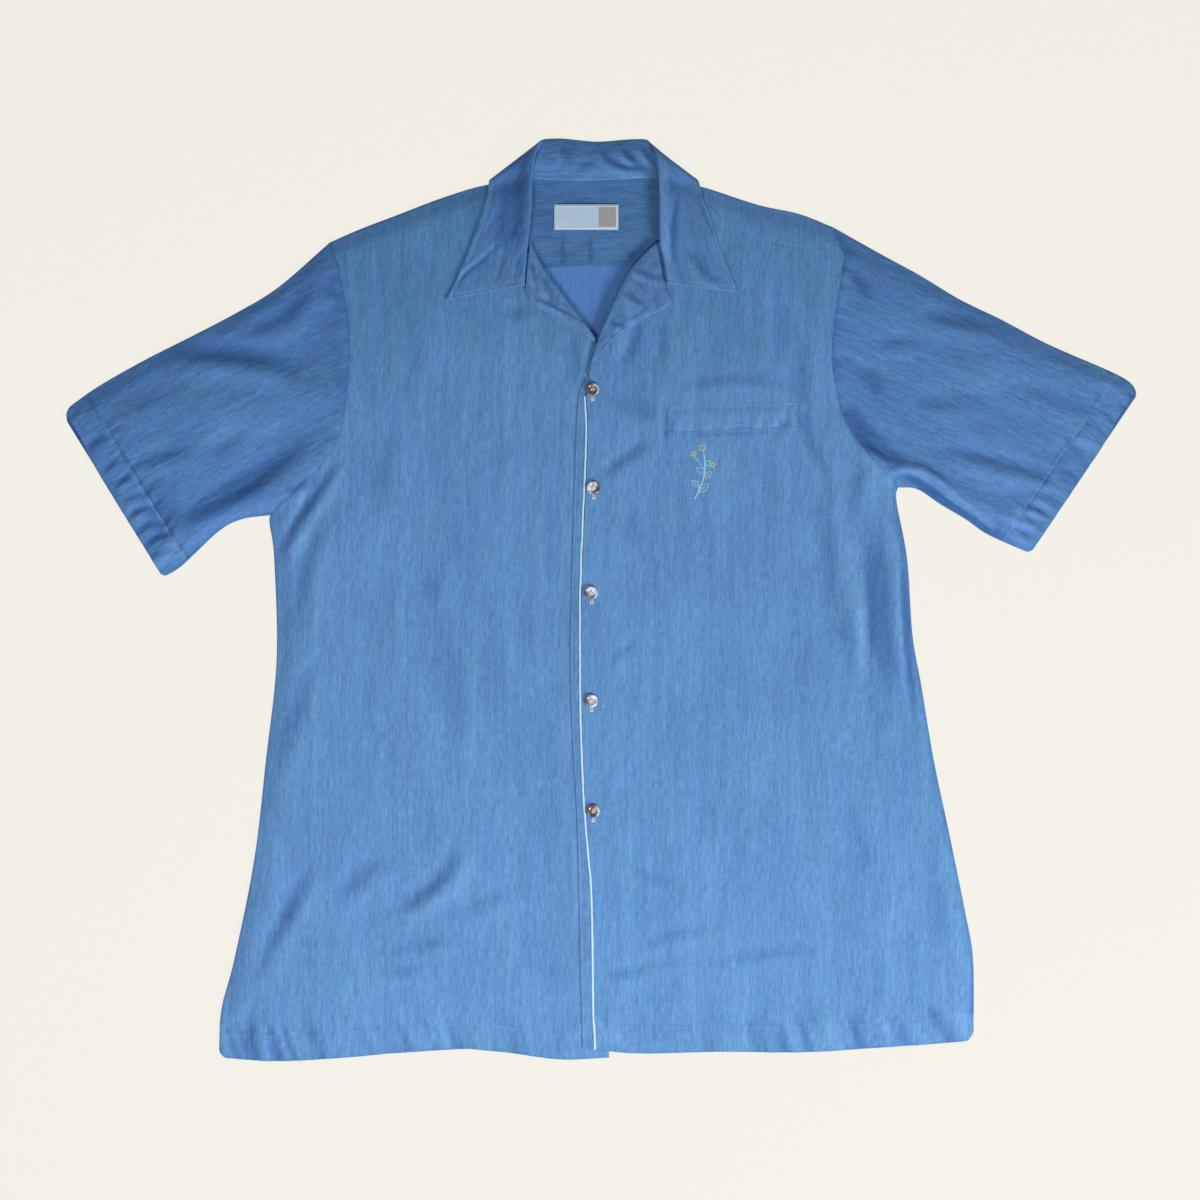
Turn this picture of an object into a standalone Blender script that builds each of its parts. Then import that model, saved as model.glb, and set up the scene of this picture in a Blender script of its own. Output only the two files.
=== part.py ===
"""A short-sleeved camp-collar shirt in blue chambray, laid flat with its front up.

All sizes are in millimetres in the tables below. X runs to the wearer's left, Y to the collar,
Z up from the surface that the shirt lies on. "right" and "left" are the wearer's.
"""

import math

import bmesh
import bpy
import numpy as np

MM = 0.001

# Cloth and the way its layers lie
CLOTH = 1.0  # wall of every cloth piece
LAYER = 1.4  # from one layer's middle to the next one's, which leaves 0.4 between them
SEAM = 0.4  # gap in plan between two panels that are sewn together
BEND = LAYER / 2  # radius of the middle of a folded edge
PUFF = 3.0  # how far the upper layers stand off the lower ones, away from the edges
EDGE_ROUND = 11.0  # how far from a side fold the upper layer comes down

# Outline of the laid shirt, as (x, y)
SHOULDER_RIGHT = ((-229, 303), (-204, 314), (-170, 327), (-136, 340), (-102, 350.5), (-69, 355.5))
SHOULDER_LEFT = ((198, 316), (170, 327), (136, 334.5), (102, 345.5), (85, 350.5), (62, 355.5))
SLEEVE_TOP_RIGHT = ((-229, 303), (-272, 265.5), (-306, 244.5), (-345, 224), (-385.5, 203.5), (-426, 180.5), (-457, 158.5))
SLEEVE_TOP_LEFT = ((198, 316), (238, 293.5), (272, 275), (306, 254.5), (341, 237.5), (382, 216), (443, 189), (457.5, 175))
SLEEVE_HEM_RIGHT = ((-457, 158.5), (-371, 19))
SLEEVE_HEM_LEFT = ((457.5, 175), (366, 39.5))
UNDERARM_RIGHT = ((-279, 72), (-304, 68.5), (-324, 58), (-355, 29), (-371, 19))
UNDERARM_LEFT = ((253, 95.5), (270, 94), (290, 81), (311, 68.5), (331, 55), (366, 39.5))
SIDE_RIGHT = ((-279, 72), (-280, 65), (-276, 34), (-274, -51), (-283, -136), (-293, -221), (-310, -306), (-321, -349),
              (-323, -389))
SIDE_LEFT = ((253, 95.5), (252, 83), (261, 34), (265.5, -30), (273, -73), (283.5, -136), (297, -200), (310, -264),
             (317, -306), (317.5, -373))

# Seams
ARMHOLE_RIGHT = ((-229, 303), (-221, 278), (-213, 233), (-213, 192), (-219, 148), (-233, 118), (-255, 95), (-279, 72))
ARMHOLE_LEFT = ((198, 316), (207, 293), (203.5, 265), (197, 216), (200, 181.5), (209.5, 150), (225, 127), (242, 109),
                (253, 95.5))
YOKE_SEAM_RIGHT = ((-186, 304), (-158, 309), (-130, 321.5), (-97, 339.5), (-74.5, 345))
YOKE_SEAM_LEFT = ((172, 299.5), (120, 313), (90, 337), (69.5, 344.5))
YOKE_LOWER = ((-127, 271.5), (-2, 283.5), (119, 273))
NECK = ((-69, 355.5), (-57.5, 357.5), (-15, 356.5), (17.5, 357.5), (49, 359), (62, 355.5))
NECKLINE_RIGHT = ((-74.5, 345), (-74, 322), (-71, 309), (-65, 303))
NECKLINE_LEFT = ((69.5, 344.5), (66, 322), (61, 308), (50, 303))
OPENING_RIGHT = ((-65, 303), (-33.5, 260.5), (-1.5, 218), (8, 204))
OPENING_LEFT = ((50, 303), (23.5, 275), (7, 240), (-2, 218), (-7, 197), (-11, 174))
HEM_RIGHT = ((-323, -389), (-272, -392), (-204, -388), (-136, -381), (-85, -384), (-34, -390.5), (8, -389))
HEM_LEFT = ((-3, -382), (34.5, -385.5), (102.5, -384), (170.5, -384.5), (238.5, -380.5), (306.5, -375.5), (317.5, -373))
HEM_BACK = ((-321.5, -387), (-204, -386), (-100, -380.5), (0, -381.5), (102, -382.5), (238, -379), (316, -371.5))

# Places along an armhole, from the shoulder, where the yoke's front and back seams meet it
YOKE_FRONT_AT = 14.0
YOKE_BACK_AT = 50.0
ARMHOLE_STEPS = 10  # from the yoke's back seam to the armpit
SIDE_STEPS = 15
SHOULDER_STEPS = 7
SLEEVE_STEPS = 11

# The fronts' overlap, and the upper front's edge
UNDER_FRONT_EDGE = 8.0  # x of the under front's edge
OVERLAP_SLOPE = 21.0  # how far the upper front takes to come down past it
PIPING_RADIUS = 1.05
PIPING_LINE = ((-12.5, 173), (-11.5, 135.5), (-15, 50.5), (-16.5, 5), (-16.5, -85.5), (-14, -162), (-10, -213),
               (-7, -255.5), (-5.5, -340), (-4, -382))
BAND_EDGE = ((-17, 174), (-19.5, 143), (-22.5, 50.5), (-24.5, -36), (-23.5, -102), (-18.5, -196), (-15.5, -338),
             (-14, -380.5))
PIPING_ROOM = PIPING_RADIUS + 0.3

# Lapels: the fold along the neck opening, and the outer edge, as (fold x, fold y, outer x, outer y)
LAPEL_RIGHT = (
    (-59.0, 302.0, -62.5, 262.5),
    (-49.5, 283.5, -54.0, 248.5),
    (-33.5, 261.0, -37.0, 241.0),
    (-16.5, 239.0, -19.5, 232.0),
    (-3.5, 221.0, -6.5, 219.0),
)
LAPEL_LEFT = (
    (48.0, 302.0, 55.5, 265.0),
    (38.5, 293.5, 59.0, 250.5),
    (23.5, 275.0, 38.5, 238.5),
    (7.0, 240.0, 16.5, 225.0),
    (-2.0, 218.0, 2.5, 211.0),
    (-7.5, 200.0, -3.0, 198.5),
    (-10.5, 187.0, -6.0, 189.0),
)
LAPEL_TURN = 1.0  # radius of the lapel's turned edge
OPENING_INSET = 1.8  # the front's edge lies this far inside the lapel's fold

# The collar's sections from the right front end round the neck to the left front end. Each has its
# seam, its roll and its outer edge in plan, the layer of its seam and of its outer edge, the height of
# the roll over them, and on which side of the stand the leaf lies: 1 above it, -1 behind it.
# (seam x, seam y, roll x, roll y, edge x, edge y, seam layer, edge layer, roll height, leaf side)
COLLAR = (
    (-67.0, 266.0, -64.0, 266.5, -129.5, 254.0, 2.0, 2.3, 0.6, 1.0),
    (-67.0, 287.0, -62.5, 287.0, -117.0, 280.0, 2.0, 2.3, 1.2, 1.0),
    (-67.5, 304.0, -61.0, 304.5, -108.0, 303.0, 2.0, 2.2, 2.4, 1.0),
    (-69.5, 325.0, -58.0, 331.0, -99.5, 325.0, 1.2, 2.2, 4.4, 1.0),
    (-71.0, 344.0, -57.5, 356.0, -94.5, 344.0, 1.0, 2.2, 4.0, 1.0),
    (-67.0, 353.5, -54.0, 379.5, -94.0, 353.0, 1.0, 2.5, 1.8, 0.8),
    (-65.0, 358.0, -51.0, 388.0, -91.5, 357.0, 0.9, 0.5, 0.3, 0.0),
    (-61.0, 359.0, -47.0, 390.5, -87.5, 354.5, 0.3, -1.0, 0.0, -0.9),
    (-56.0, 359.0, -42.0, 391.0, -78.0, 343.0, 0.0, -1.0, 0.0, -1.0),
    (-36.0, 358.0, -30.0, 391.0, -57.0, 333.0, 0.0, -1.0, 0.0, -1.0),
    (-2.0, 358.0, -2.0, 388.5, -2.0, 328.0, 0.0, -1.0, 0.0, -1.0),
    (30.0, 359.5, 26.0, 390.5, 42.0, 333.0, 0.0, -1.0, 0.0, -1.0),
    (53.0, 360.5, 38.5, 390.5, 67.5, 343.0, 0.0, -1.0, 0.0, -1.0),
    (57.0, 360.0, 42.0, 388.5, 77.5, 354.5, 0.3, -1.0, 0.0, -0.9),
    (59.0, 359.0, 45.0, 384.5, 81.5, 357.0, 0.9, 0.5, 0.3, 0.0),
    (60.5, 353.5, 48.5, 374.0, 85.0, 352.0, 1.0, 2.5, 1.8, 0.8),
    (66.0, 344.0, 50.5, 356.0, 87.0, 341.0, 1.0, 2.2, 4.0, 1.0),
    (63.0, 325.0, 51.0, 331.0, 93.5, 324.0, 1.1, 2.2, 4.4, 1.0),
    (57.5, 304.0, 51.5, 304.5, 100.0, 303.0, 2.0, 2.2, 2.4, 1.0),
    (59.5, 286.5, 55.0, 286.5, 108.5, 282.0, 2.0, 2.3, 1.2, 1.0),
    (61.0, 268.5, 58.0, 268.0, 117.0, 260.5, 2.0, 2.3, 0.6, 1.0),
)
COLLAR_STEPS = 50
COLLAR_ROLL = 0.85  # radius of the roll's middle

# The leaf behind the neck lifts what lies over it: half its width, its lower end, and the slope's length
LEAF_HALF_WIDTH = 92.0
LEAF_LOWER = 310.0
LEAF_SLOPE = 20.0

# Folds of the upper layer: ridges have a height, troughs a negative one
# (start x, start y, end x, end y, height, half width)
FOLDS = (
    # right sleeve
    (-360, 211, -249, 185, -3.2, 11),
    (-285, 232, -246, 265, -2.0, 10),
    (-363, 57, -249, 125, -3.2, 11),
    (-386, 109, -314, 136, -1.8, 10),
    (-295, 106, -243, 142, 2.2, 14),
    (-350, 150, -270, 160, 2.0, 20),
    # right side of the body
    (-272, 44, -227, 113, -2.2, 10),
    (-262, 28, -223, 86, 2.2, 11),
    (-256, -5, -230, 60, -2.0, 11),
    (-253, -69, -243, -44, -1.5, 12),
    (-289, -311, -243, -226, -2.2, 12),
    (-262, -300, -222, -225, 2.2, 14),
    (-175, -268, -119, -216, -2.6, 12),
    (-160, -238, -120, -200, 2.0, 15),
    (-217, -252, -184, -210, -1.8, 12),
    (-132, -31, -132, -108, -1.6, 12),
    (-171, 152, -191, 74, -1.6, 13),
    (-195, 140, -205, 60, 1.8, 15),
    # left sleeve
    (265, 239, 356, 229, -2.4, 11),
    (226, 197, 271, 164, -2.2, 10),
    (329, 177, 401, 152, -1.8, 10),
    (271, 125, 388, 102, -2.4, 11),
    (210, 161, 258, 116, -2.8, 10),
    (271, 99, 356, 54, -2.2, 11),
    (245, 197, 336, 197, 2.4, 14),
    (238, 152, 342, 145, 2.2, 14),
    # left side of the body
    (180, 145, 212, 2, -2.2, 11),
    (212, 2, 238, -90, -2.2, 12),
    (212, 79, 238, -31, 2.6, 13),
    (232, 34, 245, -51, -2.6, 11),
    (258, -11, 265, -57, -1.4, 9),
    (160, 130, 185, 10, 1.8, 14),
    (27, 79, 21, 22, -1.0, 12),
    (40, 120, 60, 150, 1.4, 18),
    (20, -215, 62, -252, -1.2, 14),
    (20, -310, 108, -278, -1.4, 16),
    (62, 176, 154, 183, -1.4, 12),
    (62, 249, 62, 195, -1.4, 12),
)

# Chest pocket's welt band, label and buttons
POCKET = ((58, 167), (168, 167), (168, 142), (58, 142))  # corners, round from the upper right-hand one
LABEL = ((-38.5, 335.5), (16, 335.5), (16, 314), (-38.5, 314))
BUTTONS = ((-6, 178.5), (-5, 95), (-7, 6), (-7, -85.5), (-5.5, -179))
BUTTON_RADIUS = 5.65
BUTTON_HEIGHT = 2.2
BUTTON_SIDES = 20
BUTTON_CLEAR = 0.35

# Colours, as linear red, green and blue
CHAMBRAY = (0.105, 0.235, 0.455)
CHAMBRAY_INSIDE = (0.062, 0.145, 0.315)
WHITE = (0.80, 0.81, 0.80)
LABEL_BLUE = (0.40, 0.47, 0.54)
SHELL = (0.36, 0.25, 0.17)


def through(points, places):
    """A smooth curve through plan points, at the given fractions of its length (or that many even ones)."""
    points = np.asarray(points, float)
    if np.ndim(places) == 0:
        places = np.linspace(0.0, 1.0, places)
    padded = np.vstack([2 * points[0] - points[1], points, 2 * points[-1] - points[-2]])
    t = np.linspace(0, 1, 24, endpoint=False)[:, None]
    runs = []
    for a, b, c, d in zip(padded[:-3], padded[1:-2], padded[2:-1], padded[3:]):
        slope_b, slope_c = (c - a) / 2, (d - b) / 2
        runs.append((2 * t**3 - 3 * t**2 + 1) * b + (t**3 - 2 * t**2 + t) * slope_b
                    + (3 * t**2 - 2 * t**3) * c + (t**3 - t**2) * slope_c)
    dense = np.vstack(runs + [points[-1:]])
    length = np.concatenate([[0], np.cumsum(np.linalg.norm(np.diff(dense, axis=0), axis=1))])
    at = np.asarray(places) * length[-1]
    return np.stack([np.interp(at, length, dense[:, i]) for i in range(dense.shape[1])], axis=1)


def length_of(points):
    """Length of the smooth curve through plan points."""
    dense = through(points, 200)
    return np.linalg.norm(np.diff(dense, axis=0), axis=1).sum()


def shifted(curve, distance):
    """A plan curve moved sideways: to the left of its direction where the distance is positive."""
    along = np.gradient(curve, axis=0)
    along /= np.linalg.norm(along, axis=1, keepdims=True)
    return curve + distance * np.stack([-along[:, 1], along[:, 0]], axis=1)


def joined(*curves):
    """Curves that follow each other, with each shared end once."""
    return np.vstack([curves[0]] + [curve[1:] for curve in curves[1:]])


def fractions(curve):
    """How far along a curve each of its points lies, from 0 to 1."""
    run = np.concatenate([[0], np.cumsum(np.linalg.norm(np.diff(curve, axis=0), axis=1))])
    return run / run[-1]


def patch(first, last, start, end):
    """A plan grid between four curves: rows run from start to end, columns from first to last."""
    u = ((fractions(first) + fractions(last)) / 2)[:, None, None]
    v = ((fractions(start) + fractions(end)) / 2)[None, :, None]
    corners = [(a + b) / 2 for a, b in ((first[0], start[0]), (last[0], start[-1]),
                                        (first[-1], end[0]), (last[-1], end[-1]))]
    ruled = (1 - v) * first[:, None] + v * last[:, None] + (1 - u) * start[None] + u * end[None]
    flat = ((1 - u) * ((1 - v) * corners[0] + v * corners[1])
            + u * ((1 - v) * corners[2] + v * corners[3]))
    return ruled - flat


def smooth_step(value):
    """0 up to 0, 1 from 1, and an S-curve between them."""
    value = np.clip(value, 0, 1)
    return value * value * (3 - 2 * value)


def from_segment(x, y, ax, ay, bx, by):
    """Distance of points from a straight segment."""
    run = np.array([bx - ax, by - ay], float)
    t = np.clip(((x - ax) * run[0] + (y - ay) * run[1]) / (run @ run), 0, 1)
    return np.hypot(x - ax - t * run[0], y - ay - t * run[1])


def from_sides(x, y):
    """Distance of points from the folded sides of the laid shirt."""
    nearest = np.full(np.shape(x), 1e9)
    for side in (SHOULDER_RIGHT, SHOULDER_LEFT, SLEEVE_TOP_RIGHT, SLEEVE_TOP_LEFT,
                 UNDERARM_RIGHT, UNDERARM_LEFT, SIDE_RIGHT, SIDE_LEFT):
        for (ax, ay), (bx, by) in zip(side, side[1:]):
            nearest = np.minimum(nearest, from_segment(x, y, ax, ay, bx, by))
    return nearest


def drape(x, y):
    """How far the upper layer stands off its flat place: a soft puff, with ridges and troughs on it."""
    rise = np.full(np.shape(x), PUFF)
    for ax, ay, bx, by, height, half_width in FOLDS:
        rise += height * np.exp(-(from_segment(x, y, ax, ay, bx, by) / half_width) ** 2)
    rise = (rise + np.sqrt(rise * rise + 0.6)) / 2
    return rise * (1 - np.exp(-(from_sides(x, y) / EDGE_ROUND) ** 2))


def neck_rise(x, y):
    """How far the leaf behind the neck lifts what lies over it."""
    across = smooth_step((LEAF_HALF_WIDTH + LEAF_SLOPE - np.abs(x + 2)) / LEAF_SLOPE)
    return LAYER * across * smooth_step((y - LEAF_LOWER + LEAF_SLOPE) / LEAF_SLOPE)


def level(layer, x, y):
    """Height of the middle of a layer: layer 0 lies on the surface, and those from 1 up are draped."""
    layer = np.asarray(layer, float)
    return CLOTH / 2 + layer * LAYER + neck_rise(x, y) + np.clip(layer, 0, 1) * drape(x, y)


def over_front(x):
    """The upper front's layer: 2 over the under front, 1 past it."""
    return 1 + smooth_step((UNDER_FRONT_EDGE + 3 + OVERLAP_SLOPE - x) / OVERLAP_SLOPE)


def raised(plan, layer):
    """A plan grid given its heights on a layer."""
    x, y = plan[..., 0], plan[..., 1]
    return np.dstack([x, y, level(layer, x, y)])


def cloth(name, grids, material):
    """A cloth piece: its middle surface as grids joined at their shared points, with a wall."""
    bm = bmesh.new()
    for grid in grids:
        rows, columns = grid.shape[:2]
        made = bmesh.ops.create_grid(bm, x_segments=columns - 1, y_segments=rows - 1, size=1.0)
        for vertex, place in zip(made["verts"], grid.reshape(-1, 3)):
            vertex.co = place * MM
    bmesh.ops.remove_doubles(bm, verts=bm.verts, dist=1e-5)
    mesh = bpy.data.meshes.new(name)
    bm.to_mesh(mesh)
    bm.free()
    mesh.shade_smooth()
    mesh.set_sharp_from_angle(angle=math.radians(40))
    piece = bpy.data.objects.new(name, mesh)
    piece.data.materials.append(material)
    collection.objects.link(piece)
    wall = piece.modifiers.new("Wall", "SOLIDIFY")
    wall.thickness = CLOTH * MM
    wall.offset = 0
    wall.use_even_offset = True
    wall.use_rim = True
    set_down(piece)
    return piece


def set_down(piece):
    """Takes on the wall, and flattens what a fold's wall would push below the surface."""
    walled = bpy.data.meshes.new_from_object(piece.evaluated_get(bpy.context.evaluated_depsgraph_get()))
    places = np.empty(3 * len(walled.vertices))
    walled.vertices.foreach_get("co", places)
    places[2::3] = np.maximum(places[2::3], 0)
    walled.vertices.foreach_set("co", places)
    piece.modifiers.clear()
    piece.data = walled


def material(name, colour, roughness):
    made = bpy.data.materials.new(name)
    made.use_nodes = True
    shader = made.node_tree.nodes["Principled BSDF"]
    shader.inputs["Base Color"].default_value = (*colour, 1)
    shader.inputs["Roughness"].default_value = roughness
    shader.inputs["Metallic"].default_value = 0
    made.diffuse_color = (*colour, 1)
    return made


def armhole(points):
    """An armhole's points from the shoulder: the yoke's front seam is the 2nd, its back seam the 4th."""
    whole = length_of(points)
    middle = (YOKE_FRONT_AT + YOKE_BACK_AT) / 2
    start = [0, YOKE_FRONT_AT / whole, middle / whole]
    rest = np.linspace(YOKE_BACK_AT / whole, 1, ARMHOLE_STEPS + 1)
    return through(points, np.concatenate([start, rest]))


def sleeve(name, hole, top, hem, under, side):
    """A flattened tube: rings of a lower layer, the underarm fold, an upper layer and the top fold."""
    edge = shifted(hole, -side * SEAM / 2)
    rows = len(hole)
    along_top, along_under = through(top, SLEEVE_STEPS + 1), through(under, SLEEVE_STEPS + 1)
    plan = patch(along_top, along_under, edge, through(hem, rows)).transpose(1, 0, 2)
    out_top = plan[0] - plan[1]
    out_top /= np.linalg.norm(out_top, axis=1, keepdims=True)
    out_under = plan[-1] - plan[-2]
    out_under /= np.linalg.norm(out_under, axis=1, keepdims=True)
    plan[0] -= BEND * out_top
    plan[-1] -= BEND * out_under
    lower, upper = raised(plan, 0), raised(plan, 1)[::-1]
    ring = np.concatenate([lower, folded(lower[-1], out_under), upper, folded(lower[0], out_top, down=True),
                           lower[:1]])
    return cloth(name, [ring], chambray)


def folded(row, outward, down=False):
    """The two points round a folded edge, for each point of the lower layer's last row."""
    turns = (2 * math.pi / 3, math.pi / 3) if down else (math.pi / 3, 2 * math.pi / 3)
    return np.stack([np.column_stack([row[:, :2] + BEND * math.sin(turn) * outward,
                                      row[:, 2] + BEND * (1 - math.cos(turn))]) for turn in turns])


def body_edge(hole, side_seam, side, first):
    """A body panel's outer edge: its part of the armhole, then the side seam."""
    return joined(shifted(hole, side * SEAM / 2)[first:], through(side_seam, SIDE_STEPS + 1))


def hem_places(top, hem):
    """The hem's points under the top edge's: half by length, half by width, so columns hang straight."""
    by_width = (top[:, 0] - top[0, 0]) / (top[-1, 0] - top[0, 0])
    return through(hem, np.clip((fractions(top) + by_width) / 2, 0, 1))


def fronts(hole_right, hole_left):
    """The two front panels, the upper one's edge on the wearer's left."""
    seam_right = shifted(through((hole_right[1], *YOKE_SEAM_RIGHT), SHOULDER_STEPS + 1), -SEAM / 2)
    top = joined(seam_right, through(NECKLINE_RIGHT, 4), shifted(through(OPENING_RIGHT, 8), -OPENING_INSET))
    edge = body_edge(hole_right, SIDE_RIGHT, 1, 1)
    opening = through(((8, 204), (8, 100), (8, -389)), len(edge))
    plan = patch(edge, opening, top, hem_places(top, HEM_RIGHT))
    cloth("front_right", [raised(plan, 1)], chambray)

    seam_left = shifted(through((hole_left[1], *YOKE_SEAM_LEFT), SHOULDER_STEPS + 1), SEAM / 2)
    top = joined(seam_left, through(NECKLINE_LEFT, 4), shifted(through(OPENING_LEFT, 9), OPENING_INSET))
    edge = body_edge(hole_left, SIDE_LEFT, -1, 1)
    opening = shifted(through(PIPING_LINE, len(edge)), PIPING_ROOM)
    plan = patch(edge, opening, top, hem_places(top, HEM_LEFT[::-1]))
    cloth("front_left", [raised(plan, over_front(plan[..., 0]))], chambray)


def back_seam(hole_right, hole_left):
    """The seam between yoke and back, from the right armhole to the left one."""
    return through((hole_right[3], *YOKE_LOWER, hole_left[3]), 3 * SHOULDER_STEPS + 1)


def back(hole_right, hole_left):
    """The back panel, flat on the surface below the yoke."""
    top = shifted(back_seam(hole_right, hole_left), -SEAM / 2)
    edges = [body_edge(hole, seam, side, 3)
             for hole, seam, side in ((hole_right, SIDE_RIGHT, 1), (hole_left, SIDE_LEFT, -1))]
    plan = patch(*edges, top, through(HEM_BACK, len(top)))
    cloth("back", [raised(plan, 0)], chambray)


def yoke(hole_right, hole_left):
    """The back yoke, turned over the shoulders into two narrow front strips."""
    rights = shifted(through(SHOULDER_RIGHT, SHOULDER_STEPS + 1), -BEND)
    lefts = shifted(through(SHOULDER_LEFT, SHOULDER_STEPS + 1), BEND)
    rights[0, 0] += SEAM / 2
    lefts[0, 0] -= SEAM / 2
    top = joined(rights, through(NECK, SHOULDER_STEPS + 1), lefts[::-1])
    low = shifted(back_seam(hole_right, hole_left), SEAM / 2)
    side_right = np.vstack([shifted(hole_right, SEAM / 2)[3:0:-1], rights[:1]])
    side_left = np.vstack([shifted(hole_left, -SEAM / 2)[3:0:-1], lefts[:1]])
    main = raised(patch(side_right, side_left, low, top), 0)
    grids = [main]
    for shoulder, seam, hole, side, columns in (
        (rights, YOKE_SEAM_RIGHT, hole_right, 1, slice(0, SHOULDER_STEPS + 1)),
        (lefts[::-1], YOKE_SEAM_LEFT, hole_left, -1, slice(-SHOULDER_STEPS - 1, None)),
    ):
        end = shifted(through((hole[1], *seam), SHOULDER_STEPS + 1), side * SEAM / 2)
        end[0, 0] += side * SEAM / 2
        if side < 0:
            end = end[::-1]
        along = np.gradient(shoulder, axis=0)
        along /= np.linalg.norm(along, axis=1, keepdims=True)
        outward = np.stack([-along[:, 1], along[:, 0]], axis=1)
        row = main[-1, columns]
        strip = np.stack([shoulder * (1 - t) + end * t for t in (0, 0.3, 0.65, 1)])
        grids.append(np.concatenate([row[None], folded(row, outward), raised(strip, 1)]))
    cloth("yoke", grids, chambray)


def collar():
    """The collar, section by section: stand, roll and leaf."""
    table = through(COLLAR, np.linspace(0, 1, COLLAR_STEPS + 1))
    seam, roll, edge = table[:, 0:2], table[:, 2:4], table[:, 4:6]
    seam_layer, edge_layer, height, side = table[:, 6:].T
    side = np.clip(side, -1, 1)
    edge_layer = np.maximum(edge_layer, -1)
    seam_layer = np.maximum(seam_layer, 0)
    height = np.maximum(height, 0)
    seam_z = level(seam_layer, *seam.T)
    edge_z = level(edge_layer, *edge.T)
    roll_z = level((seam_layer + edge_layer) / 2, *roll.T) + height
    to_seam = (seam - roll) / np.linalg.norm(seam - roll, axis=1, keepdims=True)
    to_edge = (edge - roll) / np.linalg.norm(edge - roll, axis=1, keepdims=True)
    bend = np.where(side < 0, BEND, COLLAR_ROLL)
    inner = np.column_stack([roll + bend[:, None] * to_seam, roll_z - side * bend])
    outer = np.column_stack([roll + bend[:, None] * to_edge, roll_z + side * bend])
    start, end = np.column_stack([seam, seam_z]), np.column_stack([edge, edge_z])
    stand_bulge = 2.5 * np.clip(-side, 0, 1)
    section = [start]
    for t in (0.35, 0.7):
        point = start * (1 - t) + inner * t
        point[:, 2] += stand_bulge * math.sin(math.pi * t)
        section.append(point)
    section += [inner, np.column_stack([roll, roll_z]), outer]
    for t in (0.2, 0.45, 0.72, 1.0):
        point = outer * (1 - t) + end * t
        lying = level(edge_layer, point[:, 0], point[:, 1])
        point[:, 2] = lying + (outer[:, 2] - level(edge_layer, *outer[:, :2].T)) * (1 - t) ** 1.5
        section.append(point)
    cloth("collar", [np.stack(section, axis=1)], chambray)


def lapel(name, table, layer_of, shade):
    """A turned-back front top: it lies on the front, and its edge turns down round the front's edge."""
    rows = through(table, 9)
    fold, outer = rows[:, :2], rows[:, 2:]
    inward = (outer - fold) / np.linalg.norm(outer - fold, axis=1, keepdims=True)
    plan = np.stack([outer * (1 - t) + (fold + LAPEL_TURN * inward) * t for t in (0, 0.35, 0.7, 1)])
    top = np.dstack([plan, level(layer_of(plan[..., 0]) + 1.35, plan[..., 0], plan[..., 1])])
    turned = [np.column_stack([fold + LAPEL_TURN * (1 - math.sin(turn)) * inward,
                               top[-1, :, 2] - LAPEL_TURN * (1 - math.cos(turn))])
              for turn in (math.pi / 6, math.pi / 3, math.pi / 2)]
    tip = turned[-1] - (0, 0, 0.5)
    cloth(name, [np.concatenate([top, turned, [tip]])], shade)


def laid_rectangle(name, corners, rows, columns, heights, shade):
    """A flat piece between four corners that follows what it lies on, which gives its heights."""
    corners = np.asarray(corners, float)
    u = np.linspace(0, 1, rows)[:, None, None]
    v = np.linspace(0, 1, columns)[None, :, None]
    plan = (1 - u) * ((1 - v) * corners[0] + v * corners[1]) + u * ((1 - v) * corners[3] + v * corners[2])
    cloth(name, [np.dstack([plan, heights(plan[..., 0], plan[..., 1])])], shade)


def front_edge():
    """The piping along the upper front's edge, and the narrow band outside it."""
    line = through(PIPING_LINE, 31)
    outer = through(BAND_EDGE, 31)
    inner = shifted(line, -PIPING_ROOM)
    plan = np.stack([inner, outer])
    cloth("front_band", [raised(plan, over_front(plan[..., 0]))], chambray)

    heights = level(over_front(line[:, 0]), *line.T) + 0.45
    curve = bpy.data.curves.new("piping", "CURVE")
    curve.dimensions = "3D"
    curve.bevel_depth = PIPING_RADIUS * MM
    curve.bevel_resolution = 1
    curve.use_fill_caps = True
    spline = curve.splines.new("POLY")
    spline.points.add(len(line) - 1)
    for point, (x, y), z in zip(spline.points, line, heights):
        point.co = (x * MM, y * MM, z * MM, 1)
    curve.materials.append(material("white piping", WHITE, 0.8))
    collection.objects.link(bpy.data.objects.new("piping", curve))


def buttons():
    """Dished round buttons, each just clear of the highest cloth under it."""
    shell = material("shell", SHELL, 0.3)
    profile = ((0, 0.65), (0.6, 0.7), (0.83, 1.0), (1.0, 0.55), (0.86, 0), (0, 0))
    mesh = bpy.data.meshes.new("button profile")
    mesh.from_pydata([(r * BUTTON_RADIUS * MM, 0, z * BUTTON_HEIGHT * MM) for r, z in profile],
                     [(i, i + 1) for i in range(len(profile) - 1)], [])
    mesh.materials.append(shell)
    turn = np.linspace(0, 2 * math.pi, 12, endpoint=False)
    for number, (x, y) in enumerate(BUTTONS, start=1):
        under_x, under_y = x + BUTTON_RADIUS * np.cos(turn), y + BUTTON_RADIUS * np.sin(turn)
        cloth_top = level(over_front(under_x), under_x, under_y).max() + CLOTH / 2
        button = bpy.data.objects.new(f"button_{number}", mesh)
        button.location = (x * MM, y * MM, (cloth_top + BUTTON_CLEAR) * MM)
        collection.objects.link(button)
        screw = button.modifiers.new("Turned", "SCREW")
        screw.steps = screw.render_steps = BUTTON_SIDES
        screw.use_merge_vertices = True
        screw.merge_threshold = 0.00001


for stale in list(bpy.data.objects):
    bpy.data.objects.remove(stale)

collection = bpy.data.collections.new("camp collar shirt")
bpy.context.scene.collection.children.link(collection)
chambray = material("chambray", CHAMBRAY, 0.85)
inside = material("chambray inside", CHAMBRAY_INSIDE, 0.85)

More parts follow.
